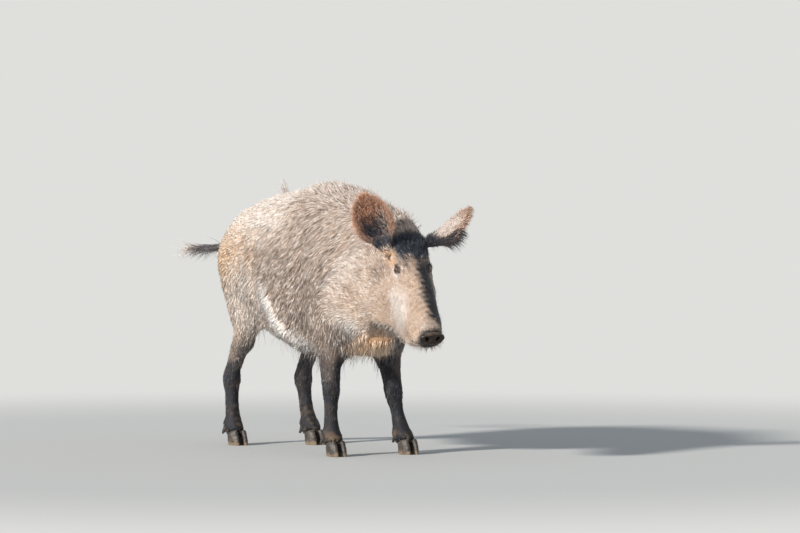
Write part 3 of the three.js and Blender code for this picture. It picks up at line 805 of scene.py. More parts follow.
# Two sets of marks, each from 0 to 1: dark, tan and pale hair, then rust hair, dried mud and bare skin.
def coatMarks(points):
    head, grain = headShare(points), grainAt(points)
    onBody = bodyMarks(points)
    *onFace, earPitShade = faceMarks(points)
    dark, tan, pale, mud = (blend(first, second, head) for first, second in zip(onBody, onFace))
    rust = np.zeros(len(points))
    bare = (1 - ramp(eyeSlit(points), 0.0008, 0.0034)) * 0.95
    for which in (left, right):
        ear = earShare(points, which)
        share, t, height = earPlace(points, which)
        inside = ramp(height, -0.002, 0.002)
        across, along = earMarks["rim"]
        rim = np.maximum(ramp(abs(t), *across), ramp(share, *along))
        along, across = earMarks["hollow"]
        hollow = inside * (1 - ramp(share + 0.1 * grain, *along)) * (1 - ramp(abs(t), *across))
        across, along = earMarks["lower"]
        lower = ramp(t * lowerSide[which], *across) * (1 - 0.95 * ramp(share, *along))
        rust = blend(rust, np.clip(0.95 * inside - 0.10 * rim * inside + 0.7 * rim * (1 - inside), 0, 1), ear)
        if which == left:
            rust = blend(rust, 0.20 + 0.3 * rim, ear)
        # the lower edge darkened: on the left ear mostly painted shade
        dark = blend(dark, np.maximum(0.95 * hollow, earMarks["lowerDarkAndShade"][which] * lower), ear)
        pale = blend(pale, 0.65 * (1 - inside) * (1 - lower) * (1 - 0.6 * rim), ear)
        tan = blend(tan, 0.25 * (1 - inside) + 0.4 * rim, ear)
        mud, bare = blend(mud, 0.0, ear), blend(bare, 0.0, ear)
    # the right ear's pit is painted dark as shade
    dark = np.maximum(dark, 0.95 * earPitShade * (1 - earShare(points, right)))
    tail = tailShare(points)
    onTail = ramp(tail, 0.10, 0.25)
    dark = blend(dark, 0.80 * (1 - ramp(tail, 0.75, 1.0)), onTail)
    tan, pale = blend(tan, 0.0, onTail), blend(pale, 0.3 * ramp(tail, 0.8, 1.0), onTail)
    first = np.stack([dark, tan, pale], axis=1)
    second = np.stack([rust, mud, bare], axis=1)
    return np.clip(first, 0, 1), np.clip(second, 0, 1)


# which edge of each ear, along its width, hangs lower
lowerSide = {which: -np.sign(earAxes(which)[0] @ np.array([0, 0, 1.0])) for which in (left, right)}


# how far points lie from the edge of the nearer eye's slit, and over 1 away from the eyes
def eyeSlit(points):
    slits = []
    for which, middle in eyeMiddles.items():
        off = ramp(np.linalg.norm(points - middle, axis=1), 0.018, 0.026)
        slits.append(abs(slitDistance(points, which)) + off)
    return np.minimum(*slits)


coatStyles = {
    # length, width and lift (radians) of a tuft, and tufts on a square metre
    "flank": (0.028, 0.0025, 0.17, 70000),
    "mane": (0.046, 0.0025, 0.46, 70000),
    "rump": (0.027, 0.0025, 0.18, 70000),
    "belly": (0.034, 0.0028, 0.26, 48000),
    "limb": (0.025, 0.0026, 0.15, 74000),
    "shin": (0.016, 0.0022, 0.12, 100000),
    "foot": (0.011, 0.0018, 0.11, 150000),
    "cheek": (0.0135, 0.0018, 0.15, 140000),
    "jowl": (0.019, 0.0021, 0.17, 110000),
    "muzzle": (0.0095, 0.0016, 0.15, 190000),
    "crown": (0.019, 0.0018, 0.26, 130000),
    "ear": (0.012, 0.0016, 0.30, 160000),
    "hollow": (0.017, 0.0014, 0.60, 110000),
    "tail": (0.026, 0.0020, 0.18, 120000),
}


# Length, width, lift and number of the tufts at each point of the skin.
def stylesAt(points, normals):
    _, y, z = (points - bodyOrigin).T
    _, ahead, above = toFace(points).T
    sizes = {name: np.array(row) for name, row in coatStyles.items()}
    style = np.tile(sizes["flank"], (len(points), 1))

    def towards(name, share):
        style[:] = style + (sizes[name] - style) * share[:, None]

    towards("rump", ramp(y, 0.15, 0.35))
    limbs = blob(points * [0, 1, 1], (0, -0.22, 0.36), (1, 0.09, 0.12))
    limbs = np.maximum(limbs, blob(points * [0, 1, 1], (0, 0.28, 0.42), (1, 0.12, 0.14)))
    towards("limb", limbs)
    towards("belly", (1 - ramp(normals[:, 2], -0.75, -0.35)) * (1 - ramp(z, 0.36, 0.44)))
    style[:, 2] += 0.18 * ramp(normals[:, 2], 0.6, 0.95) * ramp(z, 0.5, 0.6)
    towards("mane", ramp(normals[:, 2], 0.55, 0.95) * (1 - ramp(y, -0.02, 0.12)) * ramp(z, 0.55, 0.62))
    legs = legShare(points)
    towards("shin", legs)
    towards("foot", legs * (1 - ramp(z, 0.06, 0.14)))
    head = headShare(points)
    towards("jowl", head)
    towards("cheek", head * ramp(ahead, -0.06, 0.05))
    towards("muzzle", head * ramp(ahead, 0.07, 0.17))
    towards("muzzle", head * 0.8 * (1 - ramp(eyeDistance(points), 0.020, 0.038)))
    towards("crown", head * ramp(above, 0.005, 0.028) * (1 - ramp(ahead, -0.030, 0.02)))
    for which in (left, right):
        _, t, height = earPlace(points, which)
        ear = earShare(points, which)
        towards("ear", ear)
        towards("hollow", ear * ramp(height, -0.001, 0.002) * (1 - ramp(abs(t), 0.5, 0.9)))
    towards("tail", ramp(tailShare(points), 0.08, 0.2))
    style[:, 3] *= ramp(eyeSlit(points), 0.0025, 0.0060)
    onLip = ridge(above - heightOn(lipLine, ahead), 0.004)
    style[:, 3] *= 1 - 0.7 * onLip * ramp(ahead, 0.12, 0.15) * head
    style[:, 3] *= 1 - ramp(ahead, snoutReach - 0.009, snoutReach - 0.004) * head
    style[:, 3] *= ramp(z, 0.026, 0.034)
    return style


# The way the hair lies at each point of the skin, flat on it.
def lieAt(points, normals, edges):
    _, y, z = (points - bodyOrigin).T
    _, ahead, above = toFace(points).T
    way = np.tile([0.0, 0.75, -0.65], (len(points), 1))

    def towards(target, share):
        way[:] = way + (unit(np.array(target, dtype=float)) - way) * np.asarray(share)[:, None]

    towards((0, 0.9, -0.45), 1 - ramp(y, -0.36, -0.24))
    towards((0, 0.45, -0.90), blob(points * [0, 1, 1], (0, -0.20, 0.42), (1, 0.12, 0.14)))
    towards((0, 0.35, -0.95), blob(points * [0, 1, 1], (0, 0.28, 0.40), (1, 0.13, 0.15)))
    towards((0, 1, -0.15), ramp(y, 0.10, 0.30) * ramp(z, 0.46, 0.58))
    towards((0, 0.2, -1), ramp(y, 0.34, 0.44) * (1 - ramp(z, 0.52, 0.62)))
    towards((0, 1, 0.25), ramp(normals[:, 2], 0.5, 0.9) * ramp(z, 0.5, 0.6) * (1 - ramp(y, -0.1, 0.1)))
    towards((0, 1, 0), (1 - ramp(normals[:, 2], -0.8, -0.4)) * (1 - ramp(z, 0.34, 0.42)))
    towards((0, 0.1, -1), (1 - ramp(y, -0.27, -0.20)) * (1 - ramp(z, 0.34, 0.44)))
    towards((0, 0.15, -1), legShare(points))
    head = headShare(points)
    towards(-fore + 0.15 * upward, head)
    cheeks = head * (1 - ramp(above, -0.09, -0.01)) * (1 - ramp(ahead, 0.10, 0.20))
    towards(-0.8 * fore - 0.35 * upward, cheeks)
    spread = head * ramp(above, -0.01, 0.02) * 0.35
    way += np.outer(np.sign(toFace(points)[:, 0]) * spread, aside)
    away = way - normals * (way * normals).sum(axis=1, keepdims=True)
    away = smoothed(unit(away), edges, 25, 0.5)
    for which in (left, right):
        _, t, _ = earPlace(points, which)
        across, _ = earAxes(which)
        rootward = unit(earShape[which]["along"]) + np.outer(t * (0.3 + 0.9 * ramp(abs(t), 0.6, 1.0)), across)
        away = blend(away, unit(rootward), earShare(points, which))
    tailLie = np.tile(tailWay - np.array([0, 0, 0.12]), (len(points), 1))
    away = blend(away, tailLie, ramp(tailShare(points), 0.1, 0.2))
    away -= normals * (away * normals).sum(axis=1, keepdims=True)
    return unit(away)


# Everything the tufts need to know about the skin, one row for each of its points or triangles.
def surveyed(mesh):
    points, normals, triangles = pointsOf(mesh), normalsOf(mesh), trianglesOf(mesh)
    corners = points[triangles]
    span = np.cross(corners[:, 1] - corners[:, 0], corners[:, 2] - corners[:, 0])
    area = np.linalg.norm(span, axis=1) / 2
    firstMarks, secondMarks = coatMarks(points)
    return {
        "points": points,
        "normals": normals,
        "triangles": triangles,
        "middles": corners.mean(axis=1),
        "facing": unit(span),
        "area": area,
        "lie": lieAt(points, normals, edgesOf(mesh)),
        "style": stylesAt(points, normals),
        "firstMarks": firstMarks,
        "secondMarks": secondMarks,
    }


# Spreads roots evenly over the skin's triangles; crowd is how many each square metre of them gets.
def rootsOn(survey, crowd, rng):
    heap = np.cumsum(crowd * survey["area"])
    count = int(heap[-1])
    if count < 1:
        return None
    picks = (np.arange(count) + rng.random(count)) / count * heap[-1]
    chosen = np.minimum(np.searchsorted(heap, picks), len(heap) - 1)
    a, b = rng.random((2, count))
    over = a + b > 1
    a, b = np.where(over, 1 - a, a), np.where(over, 1 - b, b)
    shares = np.stack([1 - a - b, a, b], axis=1)
    ends = survey["triangles"][chosen]

    def carried(name):
        return (survey[name][ends] * shares[:, :, None]).sum(axis=1)

    style = carried("style")
    return {
        "triangle": chosen,
        "shares": shares,
        "root": carried("points"),
        "normal": unit(carried("normals")),
        "way": unit(carried("lie")),
        "length": style[:, 0],
        "width": style[:, 1],
        "lift": style[:, 2],
        "droop": np.full(count, 0.10),
        "tone": np.zeros(count),
        "firstMarks": carried("firstMarks"),
        "secondMarks": carried("secondMarks"),
    }


lockShape = {
    "share": 0.24,  # how many locks for each tuft
    "shortShare": 0.11,  # and where the hair is short
    "shortBelow": 0.0145,
    "pull": 0.34,  # how far the tips lean towards the lock's middle
    "turn": 0.085,
    "jitter": 0.10,
    "rise": 0.35,
    "riseLimits": (0.25, 2.2),
    "tone": 0.30,
    "edge": 0.26,  # how much darker a lock is at its edge
    "paleTone": 0.45,  # how much lighter pale and tan hair are
    "tanTone": 0.28,
    "slowTone": 0.14,
    "fineTone": 0.12,
    "tuftTone": 0.26,
    "shortTuftTone": 0.48,
    "mixing": 0.32,  # how far tufts of two colours mix where the colours meet
}


# Gathers tufts into locks that share a way and a tone, then makes each tuft a little different.
def gathered(tufts, rng):
    shape, roots, count = lockShape, tufts["root"], len(tufts["root"])
    short = tufts["length"] < shape["shortBelow"]
    share = np.where(short, shape["shortShare"], shape["share"])
    centres = roots[rng.random(count) < share]
    tree = KDTree(len(centres))
    for index, centre in enumerate(centres):
        tree.insert(centre, index)
    tree.balance()
    found = [tree.find(root) for root in roots]
    lock = np.array([hit[1] for hit in found])
    away = np.array([hit[2] for hit in found])
    away /= max(away.mean(), 1e-6)
    turn = shape["turn"] * (rng.normal(size=len(centres))[lock] + 0.6 * ripple(roots, 0.05, 32))
    turn += rng.normal(0, shape["jitter"], count)
    way, normal = tufts["way"], tufts["normal"]
    way = way * np.cos(turn)[:, None] + np.cross(normal, way) * np.sin(turn)[:, None]
    way = way * tufts["length"][:, None] + (centres[lock] - roots) * shape["pull"]
    tufts["way"] = unit(way - normal * (way * normal).sum(axis=1, keepdims=True))
    tufts["length"] = tufts["length"] * rng.uniform(0.75, 1.25, count) * (1 + 0.12 * ripple(roots, 0.03, 33))
    tufts["width"] = tufts["width"] * rng.uniform(0.75, 1.2, count)
    rise = 1 + shape["rise"] * rng.normal(size=count) + shape["rise"] * rng.normal(size=len(centres))[lock]
    tufts["lift"] = tufts["lift"] * np.clip(rise, *shape["riseLimits"])
    _, tan, pale = tufts["firstMarks"].T
    tone = shape["tone"] * rng.normal(size=len(centres))[lock] * (1 + 0.3 * short)
    tone += shape["slowTone"] * ripple(roots, 0.05, 36) + shape["paleTone"] * pale + shape["tanTone"] * tan
    tone -= shape["fineTone"] * ripple(roots, 0.012, 37) + shape["edge"] * (away - 1)
    tuftTone = np.where(short, shape["shortTuftTone"], shape["tuftTone"])
    tufts["tone"] = tufts["tone"] + tone + rng.normal(0, 1, count) * tuftTone
    soft = 4 * tufts["firstMarks"] * (1 - tufts["firstMarks"])
    mixed = tufts["firstMarks"] + shape["mixing"] * soft * rng.normal(size=(count, 1))
    tufts["firstMarks"] = np.clip(mixed, 0, 1)
    return tufts


tuftShape = {
    "sink": 0.0015,  # how far a root starts under the skin
    "patch": 0.003,  # how wide a tuft lies on the map
    "rings": {2: (0.0, 0.55), 3: (0.0, 0.35, 0.72)},
    "girths": {2: (0.85, 0.90), 3: (0.8, 1.0, 0.62)},
    "flatness": 0.5,
    "roll": 0.7,  # how far a tuft may turn about its own length
    "bow": 0.35,  # how much its rise slows down towards the tip
    "corners": (-1.571, 0.524, 2.618),  # angles of its three edges
}


def tuftMesh(name, tufts, rings, rng):
    count = len(tufts["root"])
    places, girths = tuftShape["rings"][rings], tuftShape["girths"][rings]
    way, normal = tufts["way"], tufts["normal"]
    length, lift = tufts["length"][:, None], tufts["lift"][:, None]
    across = np.cross(normal, way)
    roll = rng.uniform(-tuftShape["roll"], tuftShape["roll"], count)[:, None]
    flat = across * np.cos(roll) + normal * np.sin(roll)
    thick = (normal * np.cos(roll) - across * np.sin(roll)) * tuftShape["flatness"]

    def middleAt(t):
        rise = np.sin(lift) * t * (1 - tuftShape["bow"] * t) * length - tuftShape["sink"]
        fall = tufts["droop"][:, None] * length * t * t
        reach = way * (length * t * np.cos(lift))
        return tufts["root"] + reach + normal * rise - fall * np.array([0, 0, 1.0])

    points, alongs = [], []
    for t, girth in zip(places, girths):
        middle, half = middleAt(t), tufts["width"][:, None] * girth / 2
        for turn in tuftShape["corners"]:
            points.append(middle + half * (flat * math.cos(turn) + thick * math.sin(turn)))
            alongs.append(t)
    points.append(middleAt(1.0))
    alongs.append(1.0)
    step = 3 * rings + 1
    points = np.stack(points, axis=1).reshape(-1, 3)
    start = np.arange(count)[:, None, None] * step
    sides, around, patches = [], tuftShape["patch"], []
    for r in range(rings - 1):
        for i in range(3):
            j = (i + 1) % 3
            sides.append([3 * r + i, 3 * r + j, 3 * r + 3 + j, 3 * r + 3 + i])
            low, high = places[r], places[r + 1]
            patches.append([[i / 3, low], [(i + 1) / 3, low], [(i + 1) / 3, high], [i / 3, high]])
    tips, tipPatches = [[2, 1, 0]], [[[0.1, -0.3], [0.9, -0.3], [0.5, -0.05]]]
    for i in range(3):
        tips.append([3 * rings - 3 + i, 3 * rings - 3 + (i + 1) % 3, 3 * rings])
        tipPatches.append([[i / 3, places[-1]], [(i + 1) / 3, places[-1]], [(i + 0.5) / 3, 1.0]])
    quads = (np.array(sides)[None] + start).reshape(-1, 4)
    triples = (np.array(tips)[None] + start).reshape(-1, 3)
    mesh = meshFrom(name, points, [quads, triples])
    offsets = [(np.array(group) - 0.5) * around for group in (patches, tipPatches)]
    maps = [np.clip(tufts["uv"][:, None, None, :] + group[None], 0, 1).reshape(-1, 2) for group in offsets]
    layer = mesh.uv_layers.new(name="OFBake")
    layer.data.foreach_set("uv", np.concatenate(maps).astype(np.float32).ravel())
    strand = np.empty((count, step, 3))
    strand[:, :, 0] = alongs
    strand[:, :, 1] = tufts["tone"][:, None]
    strand[:, :, 2] = rng.random(count)[:, None]
    setVectors(mesh, "strand", strand.reshape(-1, 3))
    setVectors(mesh, "firstMarks", np.repeat(tufts["firstMarks"], step, axis=0))
    setVectors(mesh, "secondMarks", np.repeat(tufts["secondMarks"], step, axis=0))
    return mesh


# Lays out the chosen triangles of the skin flat, and gives each corner its place on the map.
def unwrapped(survey, chosen):
    corners = survey["triangles"][chosen]
    used, numbers = np.unique(corners, return_inverse=True)
    mesh = meshFrom("patch", survey["points"][used], [numbers.reshape(-1, 3)])
    obj = objectFrom("patch", mesh)
    bpy.context.view_layer.objects.active = obj
    obj.select_set(True)
    bpy.ops.object.mode_set(mode="EDIT")
    bpy.ops.mesh.select_all(action="SELECT")
    bpy.ops.uv.smart_project(angle_limit=1.15, island_margin=0.004, scale_to_bounds=True)
    bpy.ops.object.mode_set(mode="OBJECT")
    flat = np.empty(len(corners) * 6, dtype=np.float32)
    mesh.uv_layers.active.data.foreach_get("uv", flat)
    bpy.data.objects.remove(obj)
    bpy.data.meshes.remove(mesh)
    places = np.zeros((len(survey["triangles"]), 3, 2))
    places[chosen] = flat.reshape(-1, 3, 2)
    return places


pieceNames = [
    "muzzle_hair", "face_hair_left", "face_hair_right", "ear_hair", "neck_hair_left", "neck_hair_right",
    "mane_hair", "chest_hair_left", "chest_hair_right", "flank_hair_left", "flank_hair_right",
    "haunch_hair_left", "haunch_hair_right", "foreleg_hair", "hind_leg_hair", "tail_hair",
]


# how far back each stretch of the body ends, and the piece on it
bodyStretches = ((-0.25, "neck_hair"), (-0.02, "chest_hair"), (0.21, "flank_hair"), (9.0, "haunch_hair"))


# The coat piece that each triangle of the skin belongs to, as its number in pieceNames.
def pieceOf(survey):
    middles = survey["middles"]
    x, y, z = (middles - bodyOrigin).T
    side, ahead, _ = toFace(middles).T
    ears = np.maximum(earShare(middles, left), earShare(middles, right)) > 0.3
    head = headShare(middles) > 0.5
    legs = z < np.where(y < 0, elbowLevel + 0.01, stifleLevel + 0.01)
    rules = [
        (ears, "ear_hair"),
        (tailShare(middles) > 0.1, "tail_hair"),
        (head & (ahead > 0.10), "muzzle_hair"),
        (head & (side > 0), "face_hair_left"),
        (head, "face_hair_right"),
        (legs & (y < 0), "foreleg_hair"),
        (legs, "hind_leg_hair"),
        ((survey["facing"][:, 2] > 0.72) & (z > 0.55) & (y < 0.06), "mane_hair"),
    ]
    for limit, name in bodyStretches:
        rules.append(((y < limit) & (x > 0), name + "_left"))
        rules.append(((y < limit) & (x <= 0), name + "_right"))
    return np.select([test for test, _ in rules], [pieceNames.index(name) for _, name in rules])


# Adds a node to a tree, sets its plain values, and joins what is given to its inputs.
def added(tree, kind, inputs=(), **settings):
    node = tree.nodes.new(kind)
    for name, value in settings.items():
        setattr(node, name, value)
    for name, source in dict(inputs).items():
        wired(tree, source, node.inputs[name])
    return node


def wired(tree, source, socket):
    if isinstance(source, bpy.types.NodeSocket):
        tree.links.new(source, socket)
    else:
        socket.default_value = source


def worked(tree, operation, first, second=0.0, third=0.0, clamp=False):
    inputs = {0: first, 1: second, 2: third}
    return added(tree, "ShaderNodeMath", inputs, operation=operation, use_clamp=clamp).outputs[0]


def colourMix(tree, share, first, second, way="MIX"):
    node = added(tree, "ShaderNodeMix", data_type="RGBA", blend_type=way)
    for name, source in (("Factor_Float", share), ("A_Color", first), ("B_Color", second)):
        wired(tree, source, next(s for s in node.inputs if s.identifier == name))
    return next(s for s in node.outputs if s.identifier == "Result_Color")


def toneRamp(tree, level, stops, colours):
    node = added(tree, "ShaderNodeValToRGB", {"Fac": level})
    elements = node.color_ramp.elements
    for index, (place, colour) in enumerate(zip(stops, colours)):
        element = elements[index] if index < 2 else elements.new(place)
        element.position = place
        element.color = (*colour, 1)
    return node.outputs["Color"]


def noiseAt(tree, place, scale, detail=3.0, roughness=0.55, warp=0.0):
    inputs = {"Vector": place, "Scale": scale, "Detail": detail, "Roughness": roughness, "Distortion": warp}
    return added(tree, "ShaderNodeTexNoise", inputs).outputs["Fac"]


def newGroup(name, inputs, outputs):
    group = bpy.data.node_groups.new(name, "ShaderNodeTree")
    for title, kind in inputs:
        group.interface.new_socket(title, in_out="INPUT", socket_type=kind)
    for title, kind in outputs:
        group.interface.new_socket(title, in_out="OUTPUT", socket_type=kind)
    return group, group.nodes.new("NodeGroupInput").outputs, group.nodes.new("NodeGroupOutput").inputs


numberSocket, colourSocket, vectorSocket = "NodeSocketFloat", "NodeSocketColor", "NodeSocketVector"

# Colours of the hair from its dark root to its light tip, and of what lies on it.
hairTones = {
    "plain": ((0.040, 0.026, 0.018), (0.28, 0.200, 0.150), (0.66, 0.52, 0.43), (0.95, 0.84, 0.76)),
    "tan": ((0.085, 0.040, 0.018), (0.50, 0.29, 0.155), (0.88, 0.60, 0.39), (0.99, 0.79, 0.59)),
    "pale": ((0.32, 0.26, 0.22), (0.72, 0.64, 0.58), (0.93, 0.87, 0.82), (1.0, 0.97, 0.94)),
    # the dark tones are tinted blue: painted skylight, the blue of shade on dark hair
    "dark": ((0.004, 0.004, 0.005), (0.008, 0.010, 0.015), (0.018, 0.025, 0.042), (0.070, 0.088, 0.125)),
    "rust": ((0.025, 0.009, 0.005), (0.10, 0.033, 0.017), (0.36, 0.135, 0.070), (0.82, 0.46, 0.28)),
    "mud": ((0.10, 0.058, 0.030), (0.22, 0.14, 0.080), (0.38, 0.26, 0.165), (0.56, 0.42, 0.29)),
    "bare": ((0.050, 0.028, 0.024), (0.17, 0.105, 0.095), (0.42, 0.29, 0.265), (0.66, 0.52, 0.49)),
}
toneStops = (0.0, 0.36, 0.66, 1.0)


# One colour for the skin and for every hair: how light it is by its level, and its marks.
def coatColours():
    inputs = [("Level", numberSocket), ("First Marks", vectorSocket), ("Second Marks", vectorSocket)]
    group, given, results = newGroup("coatColours", inputs, [("Colour", colourSocket)])
    first = added(group, "ShaderNodeSeparateXYZ", {0: given["First Marks"]}).outputs
    second = added(group, "ShaderNodeSeparateXYZ", {0: given["Second Marks"]}).outputs
    colour = toneRamp(group, given["Level"], toneStops, hairTones["plain"])
    # each mark in turn covers those before it
    shares = [
        ("tan", first[1]), ("pale", first[2]), ("rust", second[0]),
        ("dark", first[0]), ("mud", second[1]), ("bare", second[2]),
    ]
    for name, share in shares:
        tone = toneRamp(group, given["Level"], toneStops, hairTones[name])
        colour = colourMix(group, share, colour, tone)
    wired(group, colour, results["Colour"])
    return group


# Height of fine short hair or hide, for bump.
def hideGrain():
    inputs = [("Place", vectorSocket), ("Size", numberSocket)]
    group, given, results = newGroup("hideGrain", inputs, [("Height", numberSocket)])
    fine = noiseAt(group, given["Place"], given["Size"], 4.0, 0.65)
    cells = added(group, "ShaderNodeTexVoronoi", {"Vector": given["Place"], "Scale": given["Size"]})
    total = worked(group, "MULTIPLY_ADD", cells.outputs["Distance"], 0.5, fine)
    wired(group, total, results["Height"])
    return group


groups = {"coat": coatColours(), "grain": hideGrain()}


def newMaterial(name, **settings):
    material = bpy.data.materials.new(name)
    material.use_nodes = True
    tree = material.node_tree
    shader = tree.nodes["Principled BSDF"]
    for title, value in settings.items():
        shader.inputs[title.replace("_", " ")].default_value = value
    return material, tree, shader


def attribute(tree, name):
    return added(tree, "ShaderNodeAttribute", attribute_name=name).outputs["Vector"]


def useGroup(tree, name, inputs):
    node = tree.nodes.new("ShaderNodeGroup")
    node.node_tree = groups[name]
    for title, source in inputs.items():
        wired(tree, source, node.inputs[title])
    return node.outputs


def bumped(tree, height, strength, distance):
    inputs = {"Height": height, "Strength": strength, "Distance": distance}
    return added(tree, "ShaderNodeBump", inputs).outputs["Normal"]


def hairMaterial():
    settings = {"Specular_IOR_Level": 0.35, "Sheen_Weight": 0.12, "Sheen_Roughness": 0.4}
    material, tree, shader = newMaterial("hair", **settings)
    strand = added(tree, "ShaderNodeSeparateXYZ", {0: attribute(tree, "strand")}).outputs
    along = worked(tree, "MULTIPLY_ADD", strand[0], 0.48, 0.42)
    level = worked(tree, "MULTIPLY_ADD", strand[1], 0.42, along, clamp=True)
    marks = {"First Marks": attribute(tree, "firstMarks"), "Second Marks": attribute(tree, "secondMarks")}
    colour = useGroup(tree, "coat", {"Level": level, **marks})["Colour"]
    wired(tree, colour, shader.inputs["Base Color"])
    rough = worked(tree, "MULTIPLY_ADD", strand[2], 0.25, 0.45)
    wired(tree, rough, shader.inputs["Roughness"])
    return material


def skinMaterial():
    settings = {"Specular_IOR_Level": 0.25}
    material, tree, shader = newMaterial("skin", **settings)
    place = added(tree, "ShaderNodeTexCoord").outputs["Object"]
    speckle = noiseAt(tree, place, 420.0, 4.0, 0.7)
    level = worked(tree, "MULTIPLY_ADD", speckle, 1.0, -0.10, clamp=True)
    marks = {"First Marks": attribute(tree, "firstMarks"), "Second Marks": attribute(tree, "secondMarks")}
    colour = useGroup(tree, "coat", {"Level": level, **marks})["Colour"]
    wired(tree, colour, shader.inputs["Base Color"])
    wired(tree, worked(tree, "MULTIPLY_ADD", speckle, 0.3, 0.5), shader.inputs["Roughness"])
    height = useGroup(tree, "grain", {"Place": place, "Size": 520.0})["Height"]
    wired(tree, bumped(tree, height, 0.5, 0.0012), shader.inputs["Normal"])
    return material


def attributeParts(tree, name):
    return added(tree, "ShaderNodeSeparateXYZ", {0: attribute(tree, name)}).outputs


def eyeMaterial():
    material, tree, shader = newMaterial("eye", Roughness=0.06, Coat_Weight=1.0, Coat_Roughness=0.02)
    place = attributeParts(tree, "place")
    threads = added(tree, "ShaderNodeCombineXYZ", {0: place[1], 1: place[0]}).outputs[0]
    streaks = noiseAt(tree, threads, 6.0, 3.0, 0.6, 0.4)
    reach = worked(tree, "MULTIPLY_ADD", streaks, 0.10, place[0])
    rings = ((0.002, 0.002, 0.002), (0.004, 0.003, 0.003), (0.095, 0.045, 0.024), (0.150, 0.080, 0.045),
             (0.018, 0.010, 0.007), (0.075, 0.046, 0.040), (0.16, 0.10, 0.09))
    colour = toneRamp(tree, reach, (0.0, 0.26, 0.32, 0.52, 0.62, 0.72, 1.0), rings)
    wired(tree, colour, shader.inputs["Base Color"])
    wired(tree, bumped(tree, streaks, 0.15, 0.0004), shader.inputs["Normal"])
    return material


def discMaterial():
    settings = {"Specular_IOR_Level": 0.25, "Coat_Weight": 0.06, "Coat_Roughness": 0.35}
    material, tree, shader = newMaterial("snoutDisc", **settings)
    place = added(tree, "ShaderNodeTexCoord").outputs["Object"]
    pit, mud, _ = attributeParts(tree, "place")
    blotch = noiseAt(tree, place, 70.0, 4.0, 0.6)
    colours = ((0.008, 0.005, 0.004), (0.022, 0.014, 0.010), (0.050, 0.033, 0.025), (0.11, 0.08, 0.062))
    colour = toneRamp(tree, blotch, (0.25, 0.45, 0.62, 0.85), colours)
    # painted shade: the nostril pits are coloured near black
    colour = colourMix(tree, pit, colour, (0.004, 0.003, 0.003, 1))
    crust = worked(tree, "MULTIPLY", mud, worked(tree, "MULTIPLY_ADD", blotch, 3.0, -0.9, clamp=True))
    colour = colourMix(tree, crust, colour, (0.42, 0.33, 0.25, 1))
    wired(tree, colour, shader.inputs["Base Color"])
    wired(tree, worked(tree, "MULTIPLY_ADD", crust, 0.4, 0.38), shader.inputs["Roughness"])
    height = useGroup(tree, "grain", {"Place": place, "Size": 330.0})["Height"]
    wired(tree, bumped(tree, height, 0.6, 0.0010), shader.inputs["Normal"])
    return material


def hornMaterial():
    material, tree, shader = newMaterial("horn", Specular_IOR_Level=0.4)
    place = added(tree, "ShaderNodeTexCoord").outputs["Object"]
    rise = added(tree, "ShaderNodeSeparateXYZ", {0: place}).outputs[2]
    blotch = noiseAt(tree, place, 60.0, 4.0, 0.65)
    stretched = added(tree, "ShaderNodeVectorMath", {0: place, 1: (60.0, 60.0, 520.0)}, operation="MULTIPLY")
    bands = noiseAt(tree, stretched.outputs[0], 1.0, 2.0, 0.5)
    level = worked(tree, "MULTIPLY_ADD", bands, 0.35, worked(tree, "MULTIPLY", blotch, 0.65), clamp=True)
    colours = ((0.012, 0.010, 0.009), (0.035, 0.028, 0.024), (0.085, 0.066, 0.052), (0.20, 0.16, 0.12))
    colour = toneRamp(tree, level, (0.30, 0.45, 0.58, 0.80), colours)
    # worn pale towards the ground
    worn = worked(tree, "MULTIPLY_ADD", blotch, 2.0, 0.1)
    worn = worked(tree, "MULTIPLY_ADD", rise, -90.0, worn, clamp=True)
    colour = colourMix(tree, worn, colour, (0.26, 0.19, 0.125, 1))
    wired(tree, colour, shader.inputs["Base Color"])
    wired(tree, worked(tree, "MULTIPLY_ADD", worn, 0.3, 0.5), shader.inputs["Roughness"])
    wired(tree, bumped(tree, level, 0.7, 0.0012), shader.inputs["Normal"])
    return material


materials = {
    "hair": hairMaterial(),
    "skin": skinMaterial(),
    "eye": eyeMaterial(),
    "disc": discMaterial(),
    "horn": hornMaterial(),
}


def addEyes():
    shape = eyeShape
    turns = np.linspace(0, 1, shape["rings"]) ** 1.15 * (math.pi - 0.12) + 0.03
    angles = np.arange(shape["around"]) / shape["around"] * 2 * math.pi
    bulge = shape["cornea"] * np.clip(1 - (turns / 0.66) ** 2, 0, 1)
    for which, side in ((left, "left"), (right, "right")):
        outward, along, over = eyeAxes(which)
        ring = np.outer(np.cos(angles), along) + np.outer(np.sin(angles), over)
        reach = (shape["radius"] + bulge)[:, None, None]
        points = reach * (np.cos(turns)[:, None, None] * outward + np.sin(turns)[:, None, None] * ring)
        mesh = loftMesh("eye_" + side, eyeMiddles[which] + points)
        ball = pointsOf(mesh) - eyeMiddles[which]
        turn = np.arccos(np.clip(unit(ball) @ outward, -1, 1))
        around = np.arctan2(ball @ over, ball @ along)
        setVectors(mesh, "place", np.stack([turn, around, np.zeros_like(turn)], axis=1))
        placed("eyeball_" + side, mesh, materials["eye"], ["eye_" + side])


discShape = {
    # place from the back round to the front's middle, share of the radius, share of the thickness
    "rows": [
        (0.00, 0.30, -1.0), (0.08, 0.86, -0.95), (0.14, 0.975, -0.55), (0.19, 1.0, 0.0), (0.24, 0.99, 0.55),
        (0.29, 0.945, 0.95), (0.34, 0.88, 1.05), (0.42, 0.78, 0.92), (0.55, 0.60, 0.80), (1.00, 0.02, 0.86),
    ],
    "halfHigh": 0.0186,
    "halfWide": 0.0345,
    "halfThick": 0.0066,
    "nostril": (0.0150, 0.0000, 0.0048, 0.0085),  # aside, up, half width, half height
    "pitDepth": 0.0085,
    "lip": 0.0011,
    "groove": 0.0012,  # down the middle, under the nostrils
    "around": 84,
    "rings": 52,
}


